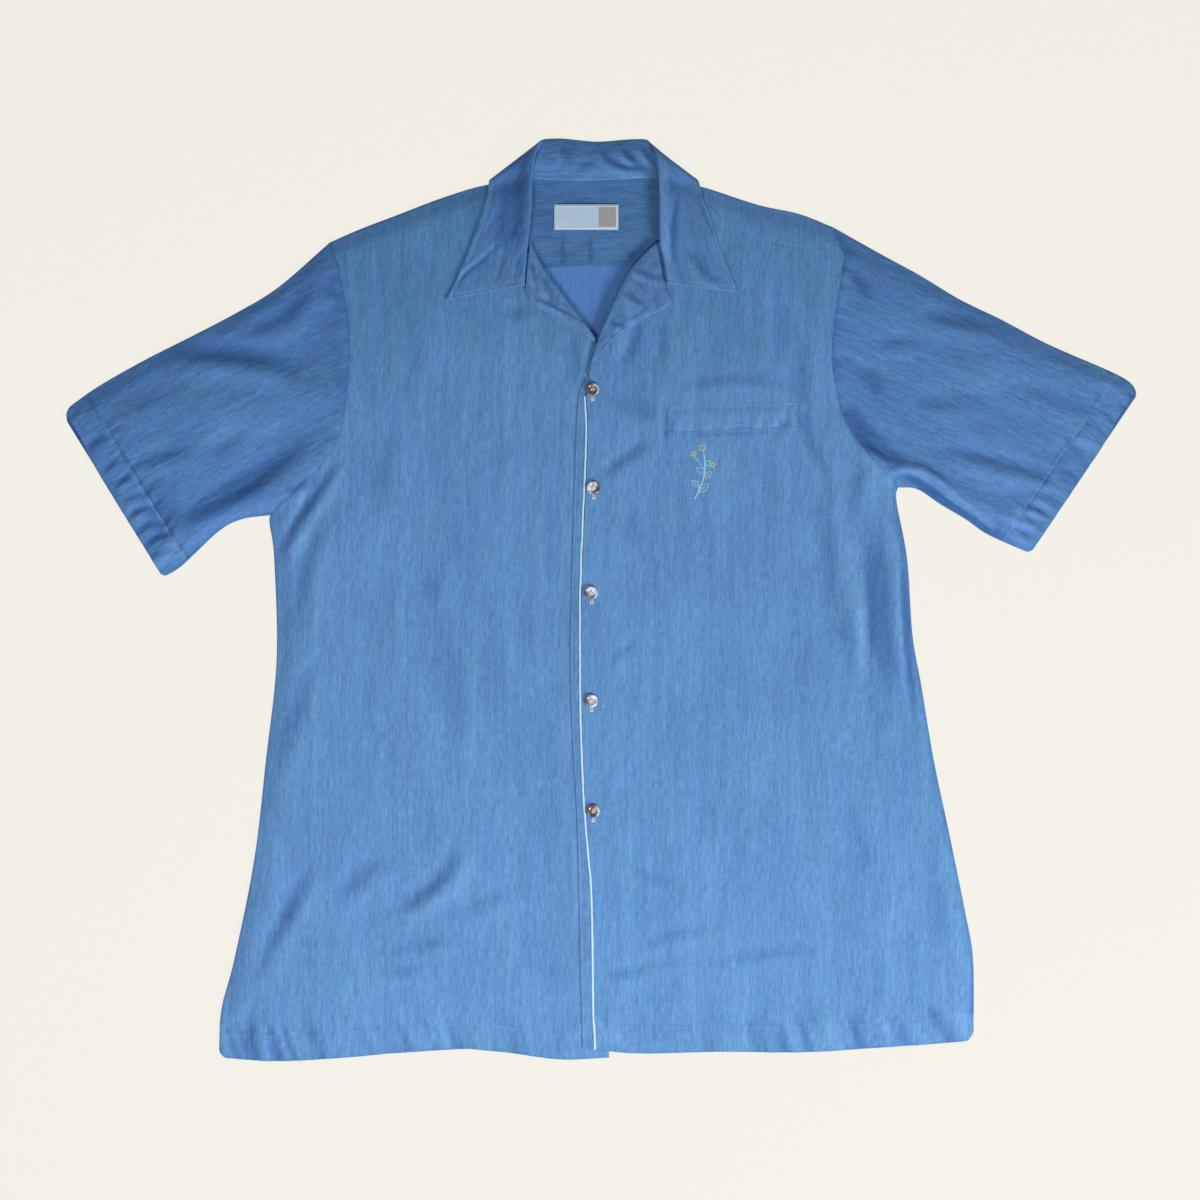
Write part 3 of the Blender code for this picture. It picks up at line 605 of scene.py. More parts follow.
@dataclass(frozen=True)
class Drape:
    """Heights of the laid layers: a soft puff that sinks to the folded sides, with the folds on it."""

    grain: Grain = Grain.DOWN
    puff: float = 3.0
    sleeve_puff: float = 1.3  # more puff in the sleeves
    crease_scale: float = 1.25
    sleeve_crease_scale: float = 0.45  # more depth in the sleeves
    edge_round: float = 9.5
    rumple: float = 0.5
    seed: int = 5
    tone: float = 0.0  # painted shade added all over the piece
    leaf_half_width: float = 92.0  # the collar's leaf behind the neck lifts what lies over it
    leaf_lower: float = 310.0
    leaf_slope: float = 20.0
    overlap: float = 8.0  # x of the under front's edge
    overlap_slope: float = 21.0

    def from_sides(self, x: np.ndarray, y: np.ndarray) -> np.ndarray:
        """Distance of points from the folded sides, or infinite where they are far."""
        lines = [line for half in (RIGHT, LEFT)
                 for line in (half.shoulder, half.sleeve_top, half.underarm, half.side_seam)]
        return np.minimum.reduce([np.abs(measured(np.asarray(line, float), x, y, 3.2 * self.edge_round).distance)
                                  for line in lines])

    def armholes(self, x: np.ndarray, y: np.ndarray) -> list[tuple[np.ndarray, np.ndarray]]:
        """For each armhole, how far out in its sleeve points lie, and the length run along it."""
        found = [(half.side.value, measured(through(half.armhole, 60), x, y, 26.0)) for half in (RIGHT, LEFT)]
        return [(off.distance * sign, off.run) for sign, off in found]

    def rumples(self, x: np.ndarray, y: np.ndarray) -> np.ndarray:
        """Low uneven waves along the grain: three noises, each finer and lower than the last."""
        across, down = np.moveaxis(self.grain.coordinates(np.stack([x, y], axis=-1)), -1, 0)
        across = across + 4 * noise(across / 60, down / 90, self.seed + 3)
        waves = ((0.9, 24, 120), (0.8, 11, 60), (0.35, 5.5, 26))
        return self.rumple * sum(height * noise(across / width, down / length, self.seed + k)
                                 for k, (height, width, length) in enumerate(waves))

    def armhole_seam(self, x: np.ndarray, y: np.ndarray) -> np.ndarray:
        """The armholes' relief: a roll of seam allowance on the sleeve's side, gathered a little.

        Args:
            x: the points' x.
            y: the points' y.

        Returns:
            The height at each point.
        """
        height = np.zeros(np.shape(x))
        for out, run in self.armholes(x, y):
            near = np.isfinite(out)
            out, run = out[near], run[near]
            gathers = noise(run / 6.5, out / 30, self.seed + 7)
            height[near] += np.where(out > 0, 0.45 * bell((out - 4.5) / 3.2)
                                     + 0.7 * gathers * smooth_step(out / 3) * np.exp(-out / 9), 0.0)
        return height

    def painted_shading(self, x: np.ndarray, y: np.ndarray) -> np.ndarray:
        """Painted shading of the cloth: painted shade in its folds, at its seams and edges, painted highlight on
        crests.

        The folds' relief is read a little to one side, where their steeper slope lies. Painted shade
        darkens the body towards the shoulders, and a painted pool of light makes it pale round the pocket.

        Args:
            x: the points' x.
            y: the points' y.

        Returns:
            The shade at each point, from -1 on crests to 1 in hollows.
        """
        # painted shade in the folds and in SHADES, painted highlight on crests, painted shade at the folded sides
        shade = -0.36 * relief_of(CREASES, x - 1.3, y + 1.6) - relief_of(SHADES, x, y)
        shade = shade - 0.25 * self.rumples(x, y) + 0.5 * bell(self.from_sides(x, y) / 2.4)
        on_body = 1 - 0.6 * smooth_step((np.abs(x) - 230) / 60)
        # painted shade towards the shoulders and the wearer's right, then a painted pool of light round the pocket
        shade = shade + self.tone + (0.33 - 0.0004 * x) * smooth_step((y - 150) / 130) * on_body
        shade = shade - 0.3 * bell((x - 100) / 75) * bell((y - 115) / 40)
        # painted shading at the hems, and painted shade along the armhole seams
        for hem in HEMS:
            shade = shade + hem.shade(hem.measure(x, y))
        for out, run in self.armholes(x, y):
            shade = shade + 0.45 * bell((out - 0.2) / 1.5)
            shade = shade + 0.6 * noise(run / 4.5, 0 * run, self.seed + 8) * bell((out - 4.0) / 4.5)
        return np.clip(shade, -1, 1)

    def rise(self, x: np.ndarray, y: np.ndarray) -> np.ndarray:
        """How far the upper layer stands off its flat place.

        The puff and all folds are added, softly kept above 0, and faded towards the folded sides.

        Args:
            x: the points' x.
            y: the points' y.

        Returns:
            The height at each point.
        """
        sleeve = smooth_step((np.abs(x) - 225) / 70) * smooth_step((y - 10) / 60)
        scale = self.crease_scale + self.sleeve_crease_scale * sleeve
        rise = self.puff + self.sleeve_puff * sleeve + scale * relief_of(CREASES, x, y)
        rise = rise + self.rumples(x, y) + self.armhole_seam(x, y)
        for hem in HEMS:
            found = hem.measure(x, y)
            rise = rise * hem.share_of_puff(found) + hem.relief(found)
        rise = (rise + np.sqrt(rise * rise + 0.6)) / 2
        return rise * (1 - bell(self.from_sides(x, y) / self.edge_round))

    def neck_rise(self, x: np.ndarray, y: np.ndarray) -> np.ndarray:
        """How far the leaf behind the neck lifts what lies over it."""
        across = smooth_step((self.leaf_half_width + self.leaf_slope - np.abs(x + 2)) / self.leaf_slope)
        return LAYER * across * smooth_step((y - self.leaf_lower + self.leaf_slope) / self.leaf_slope)

    def level(self, layer: np.ndarray | float, x: np.ndarray, y: np.ndarray) -> np.ndarray:
        """Height of a layer's middle: layer 0 lies on the surface, and those from 1 up are draped.

        Args:
            layer: the layer's number at each point, or one for all.
            x: the points' x.
            y: the points' y.

        Returns:
            The height at each point.
        """
        layer = np.asarray(layer, float)
        height = WALL / 2 + layer * LAYER + self.neck_rise(x, y)
        share = np.clip(layer, 0, 1)
        return height + share * self.rise(x, y) if np.any(share > 0) else height

    def over_front(self, x: np.ndarray) -> np.ndarray:
        """The upper front's layer: 2 over the under front, and 1 past it."""
        return 1 + smooth_step((self.overlap + 3 + self.overlap_slope - x) / self.overlap_slope)

    def raised(self, plan: np.ndarray, layer: np.ndarray | float, lift: float | np.ndarray = 0.0) -> np.ndarray:
        """A plan grid or line given its heights on a layer, and lifted off them."""
        height = self.level(layer, plan[..., 0], plan[..., 1]) + lift
        return np.concatenate([plan, height[..., None]], axis=-1)

    def on_front(self, line: np.ndarray, lift: float) -> np.ndarray:
        """A plan line lifted off the fronts' upper face."""
        return self.raised(line, self.over_front(line[..., 0]), WALL / 2 + lift)


# ---------------------------------------------------------------------------------------------
# Materials
# ---------------------------------------------------------------------------------------------

class Nodes:
    """A material's node tree, with each node made and linked in one call."""

    def __init__(self, name: str) -> None:
        """Starts a material with its shader."""
        self.material = bpy.data.materials.new(name)
        self.material.use_nodes = True
        self.tree = self.material.node_tree
        self.shader = self.tree.nodes["Principled BSDF"]

    def put(self, socket: bpy.types.NodeSocket, value: object) -> None:
        """Links a socket to another node's output, or sets its own value."""
        if isinstance(value, bpy.types.NodeSocket):
            self.tree.links.new(value, socket)
        else:
            socket.default_value = value

    def add(self, kind: str, inputs: dict[str | int, object] | None = None, **settings: object) -> bpy.types.Node:
        """Adds a node.

        Args:
            kind: the node's type, without its ShaderNode.
            inputs: a value or another node's output for each input, by name or number.
            settings: the node's own settings.

        Returns:
            The node.
        """
        node = self.tree.nodes.new("ShaderNode" + kind)
        for name, value in settings.items():
            setattr(node, name, value)
        for key, value in (inputs or {}).items():
            self.put(node.inputs[key], value)
        return node

    def math(self, operation: str, *values: object) -> bpy.types.NodeSocket:
        """The output of a Math node on one to three values."""
        return self.add("Math", dict(enumerate(values)), operation=operation).outputs[0]

    def blend(self, share: object, first: object, second: object, how: str = "MIX") -> bpy.types.NodeSocket:
        """The output of a colour mix."""
        node = self.add("Mix", data_type="RGBA", blend_type=how)
        for key, value in ((0, share), (6, first), (7, second)):
            self.put(node.inputs[key], value if isinstance(value, (float, bpy.types.NodeSocket)) else (*value, 1.0))
        return node.outputs[2]

    def noise(self, place: bpy.types.NodeSocket, stretch: tuple[float, float, float], detail: float = 2.0,
              turned: float = 0.0) -> bpy.types.NodeSocket:
        """A noise texture whose features have given sizes.

        Args:
            place: the coordinates, in metres.
            stretch: the features' sizes along each axis, in millimetres.
            detail: how many finer octaves are added.
            turned: angle of the coordinates, in radians.

        Returns:
            The noise, from 0 to 1.
        """
        scaled = self.add("Mapping", {"Vector": place, "Rotation": (0.0, 0.0, turned),
                                      "Scale": tuple(1 / (size * MM) for size in stretch)})
        texture = self.add("TexNoise", {"Vector": scaled.outputs[0], "Scale": 1.0, "Detail": detail,
                                        "Roughness": 0.55})
        return texture.outputs["Fac"]

    def wave(self, place: bpy.types.NodeSocket, axis: int, pitch: float) -> bpy.types.NodeSocket:
        """A sine of one coordinate, with its pitch in millimetres."""
        split = self.add("SeparateXYZ", {0: place})
        return self.math("SINE", self.math("MULTIPLY", split.outputs[axis], 2 * math.pi / (pitch * MM)))

    def surface(self, **values: object) -> bpy.types.Material:
        """Sets the shader's sockets, whose names have _ for spaces, and gives the material."""
        for name, value in values.items():
            if isinstance(value, tuple) and len(value) == 3:
                value = (*value, 1.0)
            self.put(self.shader.inputs[name.replace("_", " ")], value)
        return self.material


@dataclass(frozen=True)
class Chambray:
    """Slub chambray: a dark warp and a pale uneven weft, in streaks along the grain.

    The colour runs from the dark thread to the pale one by a weighted sum of stretched noises.
    """

    name: str
    dark: Colour = (0.0757, 0.186, 0.415)
    pale: Colour = (0.138, 0.332, 0.665)
    worn: Colour = (0.25, 0.43, 0.66)
    inner: Colour = (0.66, 0.71, 0.79)
    slub: float = 1.0
    sheen: float = 0.12

    def build(self) -> bpy.types.Material:
        """Makes the material from the piece's "grain" map, its "worn" and "inner" attributes, and its painted shading.

        Returns:
            The material.
        """
        n = Nodes(self.name)
        grain = n.add("UVMap", uv_map="grain").outputs[0]
        layers = (
            (1.55, n.noise(grain, (1.2, 8.0, 1.0), 3.0)),
            (0.80, n.noise(grain, (3.0, 34.0, 1.0), 2.0)),
            (0.50, n.noise(grain, (9.0, 150.0, 1.0), 1.0)),
            (0.62, n.noise(grain, (9.0, 1.2, 1.0), 2.0)),
            (0.55, n.noise(grain, (60.0, 80.0, 1.0), 2.0)),
        )
        share: object = 0.5
        for weight, texture in layers:
            share = n.math("MULTIPLY_ADD", n.math("SUBTRACT", texture, 0.5), weight * self.slub, share)
        thick = n.noise(grain, (2.2, 24.0, 1.0), 1.0)
        slub = n.add("MapRange", {"Value": thick, "From Min": 0.62, "From Max": 0.74}).outputs[0]
        share = n.math("MULTIPLY_ADD", slub, 0.2 * self.slub, share)
        colour = n.blend(share, self.dark, self.pale)
        green = n.noise(grain, (22.0, 90.0, 1.0), 3.0)
        tint = n.add("MapRange", {"Value": green, "From Min": 0.36, "From Max": 0.64}).outputs[0]
        colour = n.blend(tint, colour, n.blend(1.0, colour, (0.965, 1.015, 0.955), "MULTIPLY"))
        inner = n.add("Attribute", attribute_name="inner").outputs["Fac"]
        colour = n.blend(inner, colour, n.blend(1.0, colour, self.inner, "MULTIPLY"))
        # painted shading: a darker, bluer tint above 0 as painted shade, a paler tint below 0 as painted highlight
        painted_shading = n.add("Attribute", attribute_name="painted_shading").outputs["Fac"]
        tint = n.blend(painted_shading, (1.0, 1.0, 1.0), (0.56, 0.64, 0.76))
        tint = n.blend(n.math("MULTIPLY", painted_shading, -1.0), tint, (1.26, 1.18, 1.12))
        colour = n.blend(1.0, colour, tint, "MULTIPLY")
        wear = n.add("Attribute", attribute_name="worn").outputs["Fac"]
        patchy = n.math("MULTIPLY", wear, n.noise(grain, (3.0, 3.0, 1.0), 3.0))
        colour = n.blend(n.math("MULTIPLY", patchy, 1.7), colour, self.worn)
        fine = n.math("MULTIPLY", n.wave(grain, 0, 0.55), n.wave(grain, 1, 0.5))
        height = n.math("MULTIPLY_ADD", layers[0][1], 2.2, n.math("MULTIPLY", fine, 0.35))
        threads = n.add("Bump", {"Strength": 0.45, "Distance": 0.00022, "Height": height})
        crinkle = n.add("Bump", {"Strength": 0.7, "Distance": 0.0016, "Normal": threads.outputs[0],
                                 "Height": n.noise(grain, (6.0, 20.0, 1.0), 3.0)})
        return n.surface(Base_Color=colour, Roughness=0.82, Specular_IOR_Level=0.22, Sheen_Weight=self.sheen,
                         Sheen_Roughness=0.45, Sheen_Tint=(0.75, 0.86, 1.0), Normal=crinkle.outputs[0])


@dataclass(frozen=True)
class Plain:
    """A finish of one uneven colour with a fine relief: cotton cord, thread or woven label."""

    name: str
    colour: Colour
    shade: Colour
    roughness: float = 0.6
    size: tuple[float, float, float] = (0.5, 0.5, 0.5)
    relief: float = 0.05
    sheen: float = 0.0
    grained: bool = False

    def build(self) -> bpy.types.Material:
        """Makes the material: noise between both colours, and bump from the same noise."""
        n = Nodes(self.name)
        place = (n.add("UVMap", uv_map="grain").outputs[0] if self.grained
                 else n.add("TexCoord").outputs["Object"])
        texture = n.noise(place, self.size, 3.0)
        bump = n.add("Bump", {"Strength": 0.6, "Distance": self.relief * MM, "Height": texture})
        return n.surface(Base_Color=n.blend(texture, self.shade, self.colour), Roughness=self.roughness,
                         Specular_IOR_Level=0.3, Sheen_Weight=self.sheen, Normal=bump.outputs[0])


@dataclass(frozen=True)
class Shell:
    """Polished shell-look button: pearly on one side, and brown on the other and in patches."""

    name: str
    pearl: Colour = (0.84, 0.86, 0.92)
    violet: Colour = (0.42, 0.42, 0.50)
    brown: Colour = (0.105, 0.066, 0.06)

    def build(self) -> bpy.types.Material:
        """Makes the material: noise mixes pearl and violet, and the "brown" attribute brings brown."""
        n = Nodes(self.name)
        place = n.add("TexCoord").outputs["Object"]
        cloud = n.add("MapRange", {"Value": n.noise(place, (2.2, 3.4, 3.0), 3.0),
                                   "From Min": 0.38, "From Max": 0.62}).outputs[0]
        base = n.blend(cloud, self.violet, self.pearl)
        brown = n.add("Attribute", attribute_name="brown").outputs["Fac"]
        uneven = n.math("MULTIPLY_ADD", n.noise(place, (3.5, 3.5, 3.0), 2.0), 0.8, -0.4)
        share = n.add("Clamp", {"Value": n.math("ADD", brown, uneven)}).outputs[0]
        return n.surface(Base_Color=n.blend(share, base, self.brown), Roughness=0.22, Specular_IOR_Level=0.6,
                         Coat_Weight=0.6, Coat_Roughness=0.08)


# ---------------------------------------------------------------------------------------------
# Meshes
# ---------------------------------------------------------------------------------------------

def add_object(name: str, mesh: bpy.types.Mesh, material: bpy.types.Material) -> bpy.types.Object:
    """Puts a mesh into the scene with its material."""
    mesh.materials.clear()
    mesh.materials.append(material)
    piece = bpy.data.objects.new(name, mesh)
    bpy.context.scene.collection.objects.link(piece)
    return piece


def mesh_of(name: str, points: np.ndarray, faces: np.ndarray) -> bpy.types.Mesh:
    """A mesh from whole arrays.

    Args:
        name: the mesh's name.
        points: one row of x, y, z in millimetres for each point.
        faces: one row of point numbers for each face, all with as many corners.

    Returns:
        The mesh.
    """
    mesh = bpy.data.meshes.new(name)
    mesh.vertices.add(len(points))
    mesh.vertices.foreach_set("co", (points * MM).astype(np.float32).ravel())
    mesh.loops.add(faces.size)
    mesh.loops.foreach_set("vertex_index", faces.astype(np.int32).ravel())
    mesh.polygons.add(len(faces))
    mesh.polygons.foreach_set("loop_start", np.arange(0, faces.size, faces.shape[1], dtype=np.int32))
    mesh.update(calc_edges=True)
    return mesh


def grid_faces(rows: int, columns: int, start: int = 0) -> np.ndarray:
    """Quads of a grid of points: one row of four point numbers each, from the first point's on."""
    index = start + np.arange(rows * columns).reshape(rows, columns)
    return np.stack([index[:-1, :-1], index[:-1, 1:], index[1:, 1:], index[1:, :-1]], axis=-1).reshape(-1, 4)


def reworked(mesh: bpy.types.Mesh, *steps: Callable[[bmesh.types.BMesh], object]) -> bpy.types.Mesh:
    """A mesh after some steps on it, with its faces turned outwards and shaded smooth.

    Args:
        mesh: the mesh.
        steps: what each does to it.

    Returns:
        The same mesh.
    """
    bm = bmesh.new()
    bm.from_mesh(mesh)
    for step in steps:
        step(bm)
    bmesh.ops.recalc_face_normals(bm, faces=bm.faces)
    bm.to_mesh(mesh)
    bm.free()
    mesh.shade_smooth()
    return mesh


def closed_tube(name: str, rings: np.ndarray) -> bpy.types.Mesh:
    """A closed solid through rings of points, with a face over each end.

    Args:
        name: the mesh's name.
        rings: one row of points for each ring.

    Returns:
        The mesh.
    """
    index = np.arange(rings[..., 0].size).reshape(rings.shape[:2])
    index = np.hstack([index, index[:, :1]])
    quads = np.stack([index[:-1, :-1], index[1:, :-1], index[1:, 1:], index[:-1, 1:]], axis=-1).reshape(-1, 4)
    return reworked(mesh_of(name, rings.reshape(-1, 3), quads), lambda bm: bmesh.ops.holes_fill(bm, edges=bm.edges))


def places_of(mesh: bpy.types.Mesh) -> np.ndarray:
    """The mesh's coordinates, in metres, as one flat array."""
    places = np.empty(3 * len(mesh.vertices), np.float32)
    mesh.vertices.foreach_get("co", places)
    return places


def add_values(mesh: bpy.types.Mesh, name: str, values: np.ndarray) -> None:
    """Adds a named value for each point."""
    mesh.attributes.new(name, "FLOAT", "POINT").data.foreach_set("value", values.astype(np.float32))


def dress(piece: bpy.types.Object, slot: str, *nodes: str) -> bpy.types.Object:
    """Lets a piece ride on the body, and hides the imported parts that it stands for."""
    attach(piece, BODY)
    if nodes:
        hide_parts(*nodes)
    return piece


@dataclass(frozen=True)
class Cut:
    """A piece's flat cut: the smallest rectangle along the grain round it, and its area, in metres."""

    width: float
    length: float
    area: float

    @classmethod
    def of(cls, plan: np.ndarray, grain: Grain, layers: int = 1) -> "Cut":
        """Measures a plan grid.

        Args:
            plan: the grid.
            grain: the piece's grain, which the length follows.
            layers: 2 where the cut goes all round a tube.

        Returns:
            The cut.
        """
        across, down = np.moveaxis(grain.coordinates(plan), -1, 0)
        width, length = layers * np.ptp(across), np.ptp(down)
        a, b = plan[1:, 1:] - plan[:-1, :-1], plan[1:, :-1] - plan[:-1, 1:]
        area = layers * np.abs(a[..., 0] * b[..., 1] - a[..., 1] * b[..., 0]).sum() / 2
        return cls(width * MM, length * MM, min(area, width * length) * MM**2)


@dataclass
class Cloth:
    """One cloth piece: grids of its middle, joined at their shared points and given a wall.

    What its grain and its attributes are is told grid by grid, as one value or one for each point.
    """

    name: str
    grids: Sequence[np.ndarray]
    grains: Sequence[Grain | np.ndarray]
    worn: Sequence = ()
    # painted shading for each grid: painted shade above 0, painted highlight below 0
    painted_shading: Sequence = ()
    inner: Sequence = ()
    wall: float = WALL

    def build(self, finish: bpy.types.Material) -> bpy.types.Object:
        """Makes the piece.

        The doubles are merged and the normals recalculated before the wall, and what a fold's wall
        would push below the surface is flattened.

        Args:
            finish: its material.

        Returns:
            The piece.
        """
        starts = np.cumsum([0] + [grid[..., 0].size for grid in self.grids])
        faces = np.vstack([grid_faces(*grid.shape[:2], start) for grid, start in zip(self.grids, starts)])
        mesh = mesh_of(self.name, np.vstack([grid.reshape(-1, 3) for grid in self.grids]), faces)
        grain = np.vstack([(way.coordinates(grid) if isinstance(way, Grain) else way).reshape(-1, 2)
                           for way, grid in zip(self.grains, self.grids)]) * MM
        mesh.uv_layers.new(name="grain").uv.foreach_set("vector", grain[faces.ravel()].astype(np.float32).ravel())
        for name in ("worn", "inner", "painted_shading"):
            given = getattr(self, name) or [0.0] * len(self.grids)
            add_values(mesh, name, np.concatenate([np.broadcast_to(value, grid.shape[:2]).ravel()
                                                   for value, grid in zip(given, self.grids)]))
        reworked(mesh, lambda bm: bmesh.ops.remove_doubles(bm, verts=bm.verts, dist=2e-6))
        piece = add_object(f"{self.name}_cloth", mesh, finish)
        wall = piece.modifiers.new("Wall", "SOLIDIFY")
        wall.thickness, wall.offset = self.wall * MM, 0
        wall.use_rim = True
        graph = bpy.context.evaluated_depsgraph_get()
        walled = bpy.data.meshes.new_from_object(piece.evaluated_get(graph), preserve_all_data_layers=True,
                                                 depsgraph=graph)
        piece.modifiers.clear()
        piece.data = walled
        bpy.data.meshes.remove(mesh)
        places = places_of(walled)
        places[2::3] = np.maximum(places[2::3], 0)
        walled.vertices.foreach_set("co", places)
        walled.set_sharp_from_angle(angle=math.radians(55))
        log.info("%s: %d faces", self.name, len(walled.polygons))
        return piece

    def lay(self, finish: bpy.types.Material, cut: Cut, *rests_on: str, slot: str = "chambray") -> None:
        """Makes the piece as a laid sheet that stands for the node of its own name.

        Args:
            finish: its material.
            cut: its flat cut; not used.
            rests_on: what it lies on; not used.
            slot: its material slot; not used.
        """
        piece = dress(self.build(finish), slot, self.name)


def rolled(grid: np.ndarray, radius: np.ndarray | float, down: bool = True) -> np.ndarray:
    """A grid with its first row turned down, or up, along a quarter circle in three steps.

    Args:
        grid: the points, whose first row lies the radius inside the finished edge.
        radius: the quarter circle's radius at each point of that row.
        down: whether the edge turns down.

    Returns:
        The grid with the turned rows before its first one.
    """
    edge, out = grid[0], unit(grid[0, :, :2] - grid[1, :, :2])
    radius = np.broadcast_to(np.asarray(radius, float), len(edge))[:, None]
    rows = []
    for turn in np.linspace(math.pi / 2, 0, 3, endpoint=False):
        drop = radius[:, 0] * (1 - math.cos(turn)) * (1 if down else -1)
        rows.append(np.column_stack([edge[:, :2] + radius * math.sin(turn) * out, edge[:, 2] - drop]))
    return np.concatenate([np.stack(rows), grid])


def folded(start: np.ndarray, end: np.ndarray, outward: np.ndarray) -> np.ndarray:
    """Rows round a folded edge, along a half circle from one layer's edge to the other's.

    Args:
        start: the row where the fold starts.
        end: the row where it ends.
        outward: the way out of the cloth at each point.

    Returns:
        The rows between them.
    """
    rows = []
    for turn in np.linspace(0, math.pi, 8)[1:-1]:
        share = (1 - math.cos(turn)) / 2
        row = start * (1 - share) + end * share
        row[:, :2] += BEND * math.sin(turn) * outward
        rows.append(row)
    return np.stack(rows)


def pulled_in(plan: np.ndarray, amount: np.ndarray | float) -> np.ndarray:
    """A plan grid whose first rows move inwards, to leave room for a rolled edge.

    Each row moves by the amount times what is left of the reach, as a share.

    Args:
        plan: the grid.
        amount: how far the first row moves, one for all of its points or one each.

    Returns:
        The new grid.
    """
    reach = 7.0
    amount = np.broadcast_to(np.asarray(amount, float), plan.shape[1])
    return plan + (amount * np.clip(1 - run_down(plan) / reach, 0, 1))[..., None] * unit(plan[2] - plan[0])


def at_both_ends(work: Callable, grid: np.ndarray, first: np.ndarray | float, last: np.ndarray | float
                 ) -> np.ndarray:
    """A grid with the same work done at its first row and at its last one."""
    return np.flip(work(np.flip(work(grid, first), 0), last), 0)


def area_of(grid: np.ndarray) -> float:
    """Area of a grid in space: half of the cross product of each quad's diagonals, summed."""
    crossed = np.cross(grid[1:, 1:] - grid[:-1, :-1], grid[1:, :-1] - grid[:-1, 1:])
    return float(np.linalg.norm(crossed, axis=-1).sum() / 2)


# ---------------------------------------------------------------------------------------------
# Panels
# ---------------------------------------------------------------------------------------------

def armhole_at(half: Pattern, run: float) -> np.ndarray:
    """The point of an armhole at a length from the shoulder."""
    return through(half.armhole, np.array([run / length_of(half.armhole)]))[0]


def body_edge(half: Pattern, start: float, hem_stitch: float) -> tuple[np.ndarray, np.ndarray]:
    """A body panel's outer edge: its part of the armhole, then the side seam.

    Args:
        half: the shirt's half.
        start: where it starts, along the armhole from the shoulder.
        hem_stitch: the hem's stitch line over the edge.

    Returns:
        The edge in plan, and the radius that it rolls with: small at the armhole, a fold's at the side.
    """
    whole = length_of(half.armhole)
    part = (start + (whole - start) * graded(whole - start, near=0.8)) / whole
    hole = shifted(through(half.armhole, part), half.side.value * GAP / 2)
    places = graded(length_of(half.side_seam), near=1.5, far=0.8, fine=(hem_stitch,))
    radius = np.concatenate([np.full(len(hole), SEAM_ROLL), np.full(len(places) - 1, BEND)])
    return joined(hole, through(half.side_seam, places)), radius


@dataclass
class BackPanel:
    """The back below the yoke, flat on the surface, with low creases of its own."""

    drape: Drape
    hem_stitch: float = 21.0
    crease_height: float = 0.5

    def seam(self, gap: float) -> np.ndarray:
        """The seam with the yoke, moved by a gap to the yoke's side: from the right armhole to the left."""
        table = (armhole_at(RIGHT, YOKE_BACK_AT), *YOKE_LOWER, armhole_at(LEFT, YOKE_BACK_AT))
        return shifted(through(table, graded(length_of(table), 3.4, near=0.3, far=0.3)), gap)

    def build(self, finish: bpy.types.Material) -> None:
        """Makes the panel and measures its cut.

        Args:
            finish: its material.
        """
        edges = [body_edge(half, YOKE_BACK_AT, self.hem_stitch) for half in (RIGHT, LEFT)]
        count = min(len(edge) for edge, _ in edges)
        (right, radius), (left, left_radius) = ([self.thinned(line, count) for line in edge] for edge in edges)
        top = self.seam(-GAP / 2)
        plan = patch(right, left, top, through(HEM_BACK, fractions(top)))
        for half, low in ((RIGHT, HEM_BACK), (LEFT, HEM_BACK[::-1])):
            plan = rounded(plan, low[0], half.side_seam[-2], low[1], CORNER)
        cut = Cut.of(plan, Grain.DOWN)
        plan = at_both_ends(pulled_in, plan.transpose(1, 0, 2), radius, left_radius)
        solid = self.drape.raised(plan, 0)
        solid[..., 2] += self.creases(plan[..., 0], plan[..., 1])
        solid = at_both_ends(lambda grid, turn: rolled(grid, turn, down=False), solid, radius, left_radius)
        Cloth("back", [solid], [Grain.DOWN]).lay(finish, cut, "floor")

    @staticmethod
    def thinned(line: np.ndarray, count: int) -> np.ndarray:
        """A line read at fewer places, so that both sides have as many."""
        places, own = np.linspace(0, len(line) - 1, count), np.arange(len(line))
        return np.stack([np.interp(places, own, column) for column in np.atleast_2d(line.T)], axis=-1).squeeze()

    def creases(self, x: np.ndarray, y: np.ndarray) -> np.ndarray:
        """Low ridges off the surface, where the cloth above leaves room: positive noise along the grain."""
        room = smooth_step((self.drape.from_sides(x, y) - 12) / 20) * smooth_step((250 - y) / 30)
        waves = noise(x / 26 + 0.3 * noise(x / 70, y / 70, 41), y / 120, 42) + 0.6 * noise(x / 60, y / 34, 43)
        return self.crease_height * room * smooth_step(waves * 1.6)


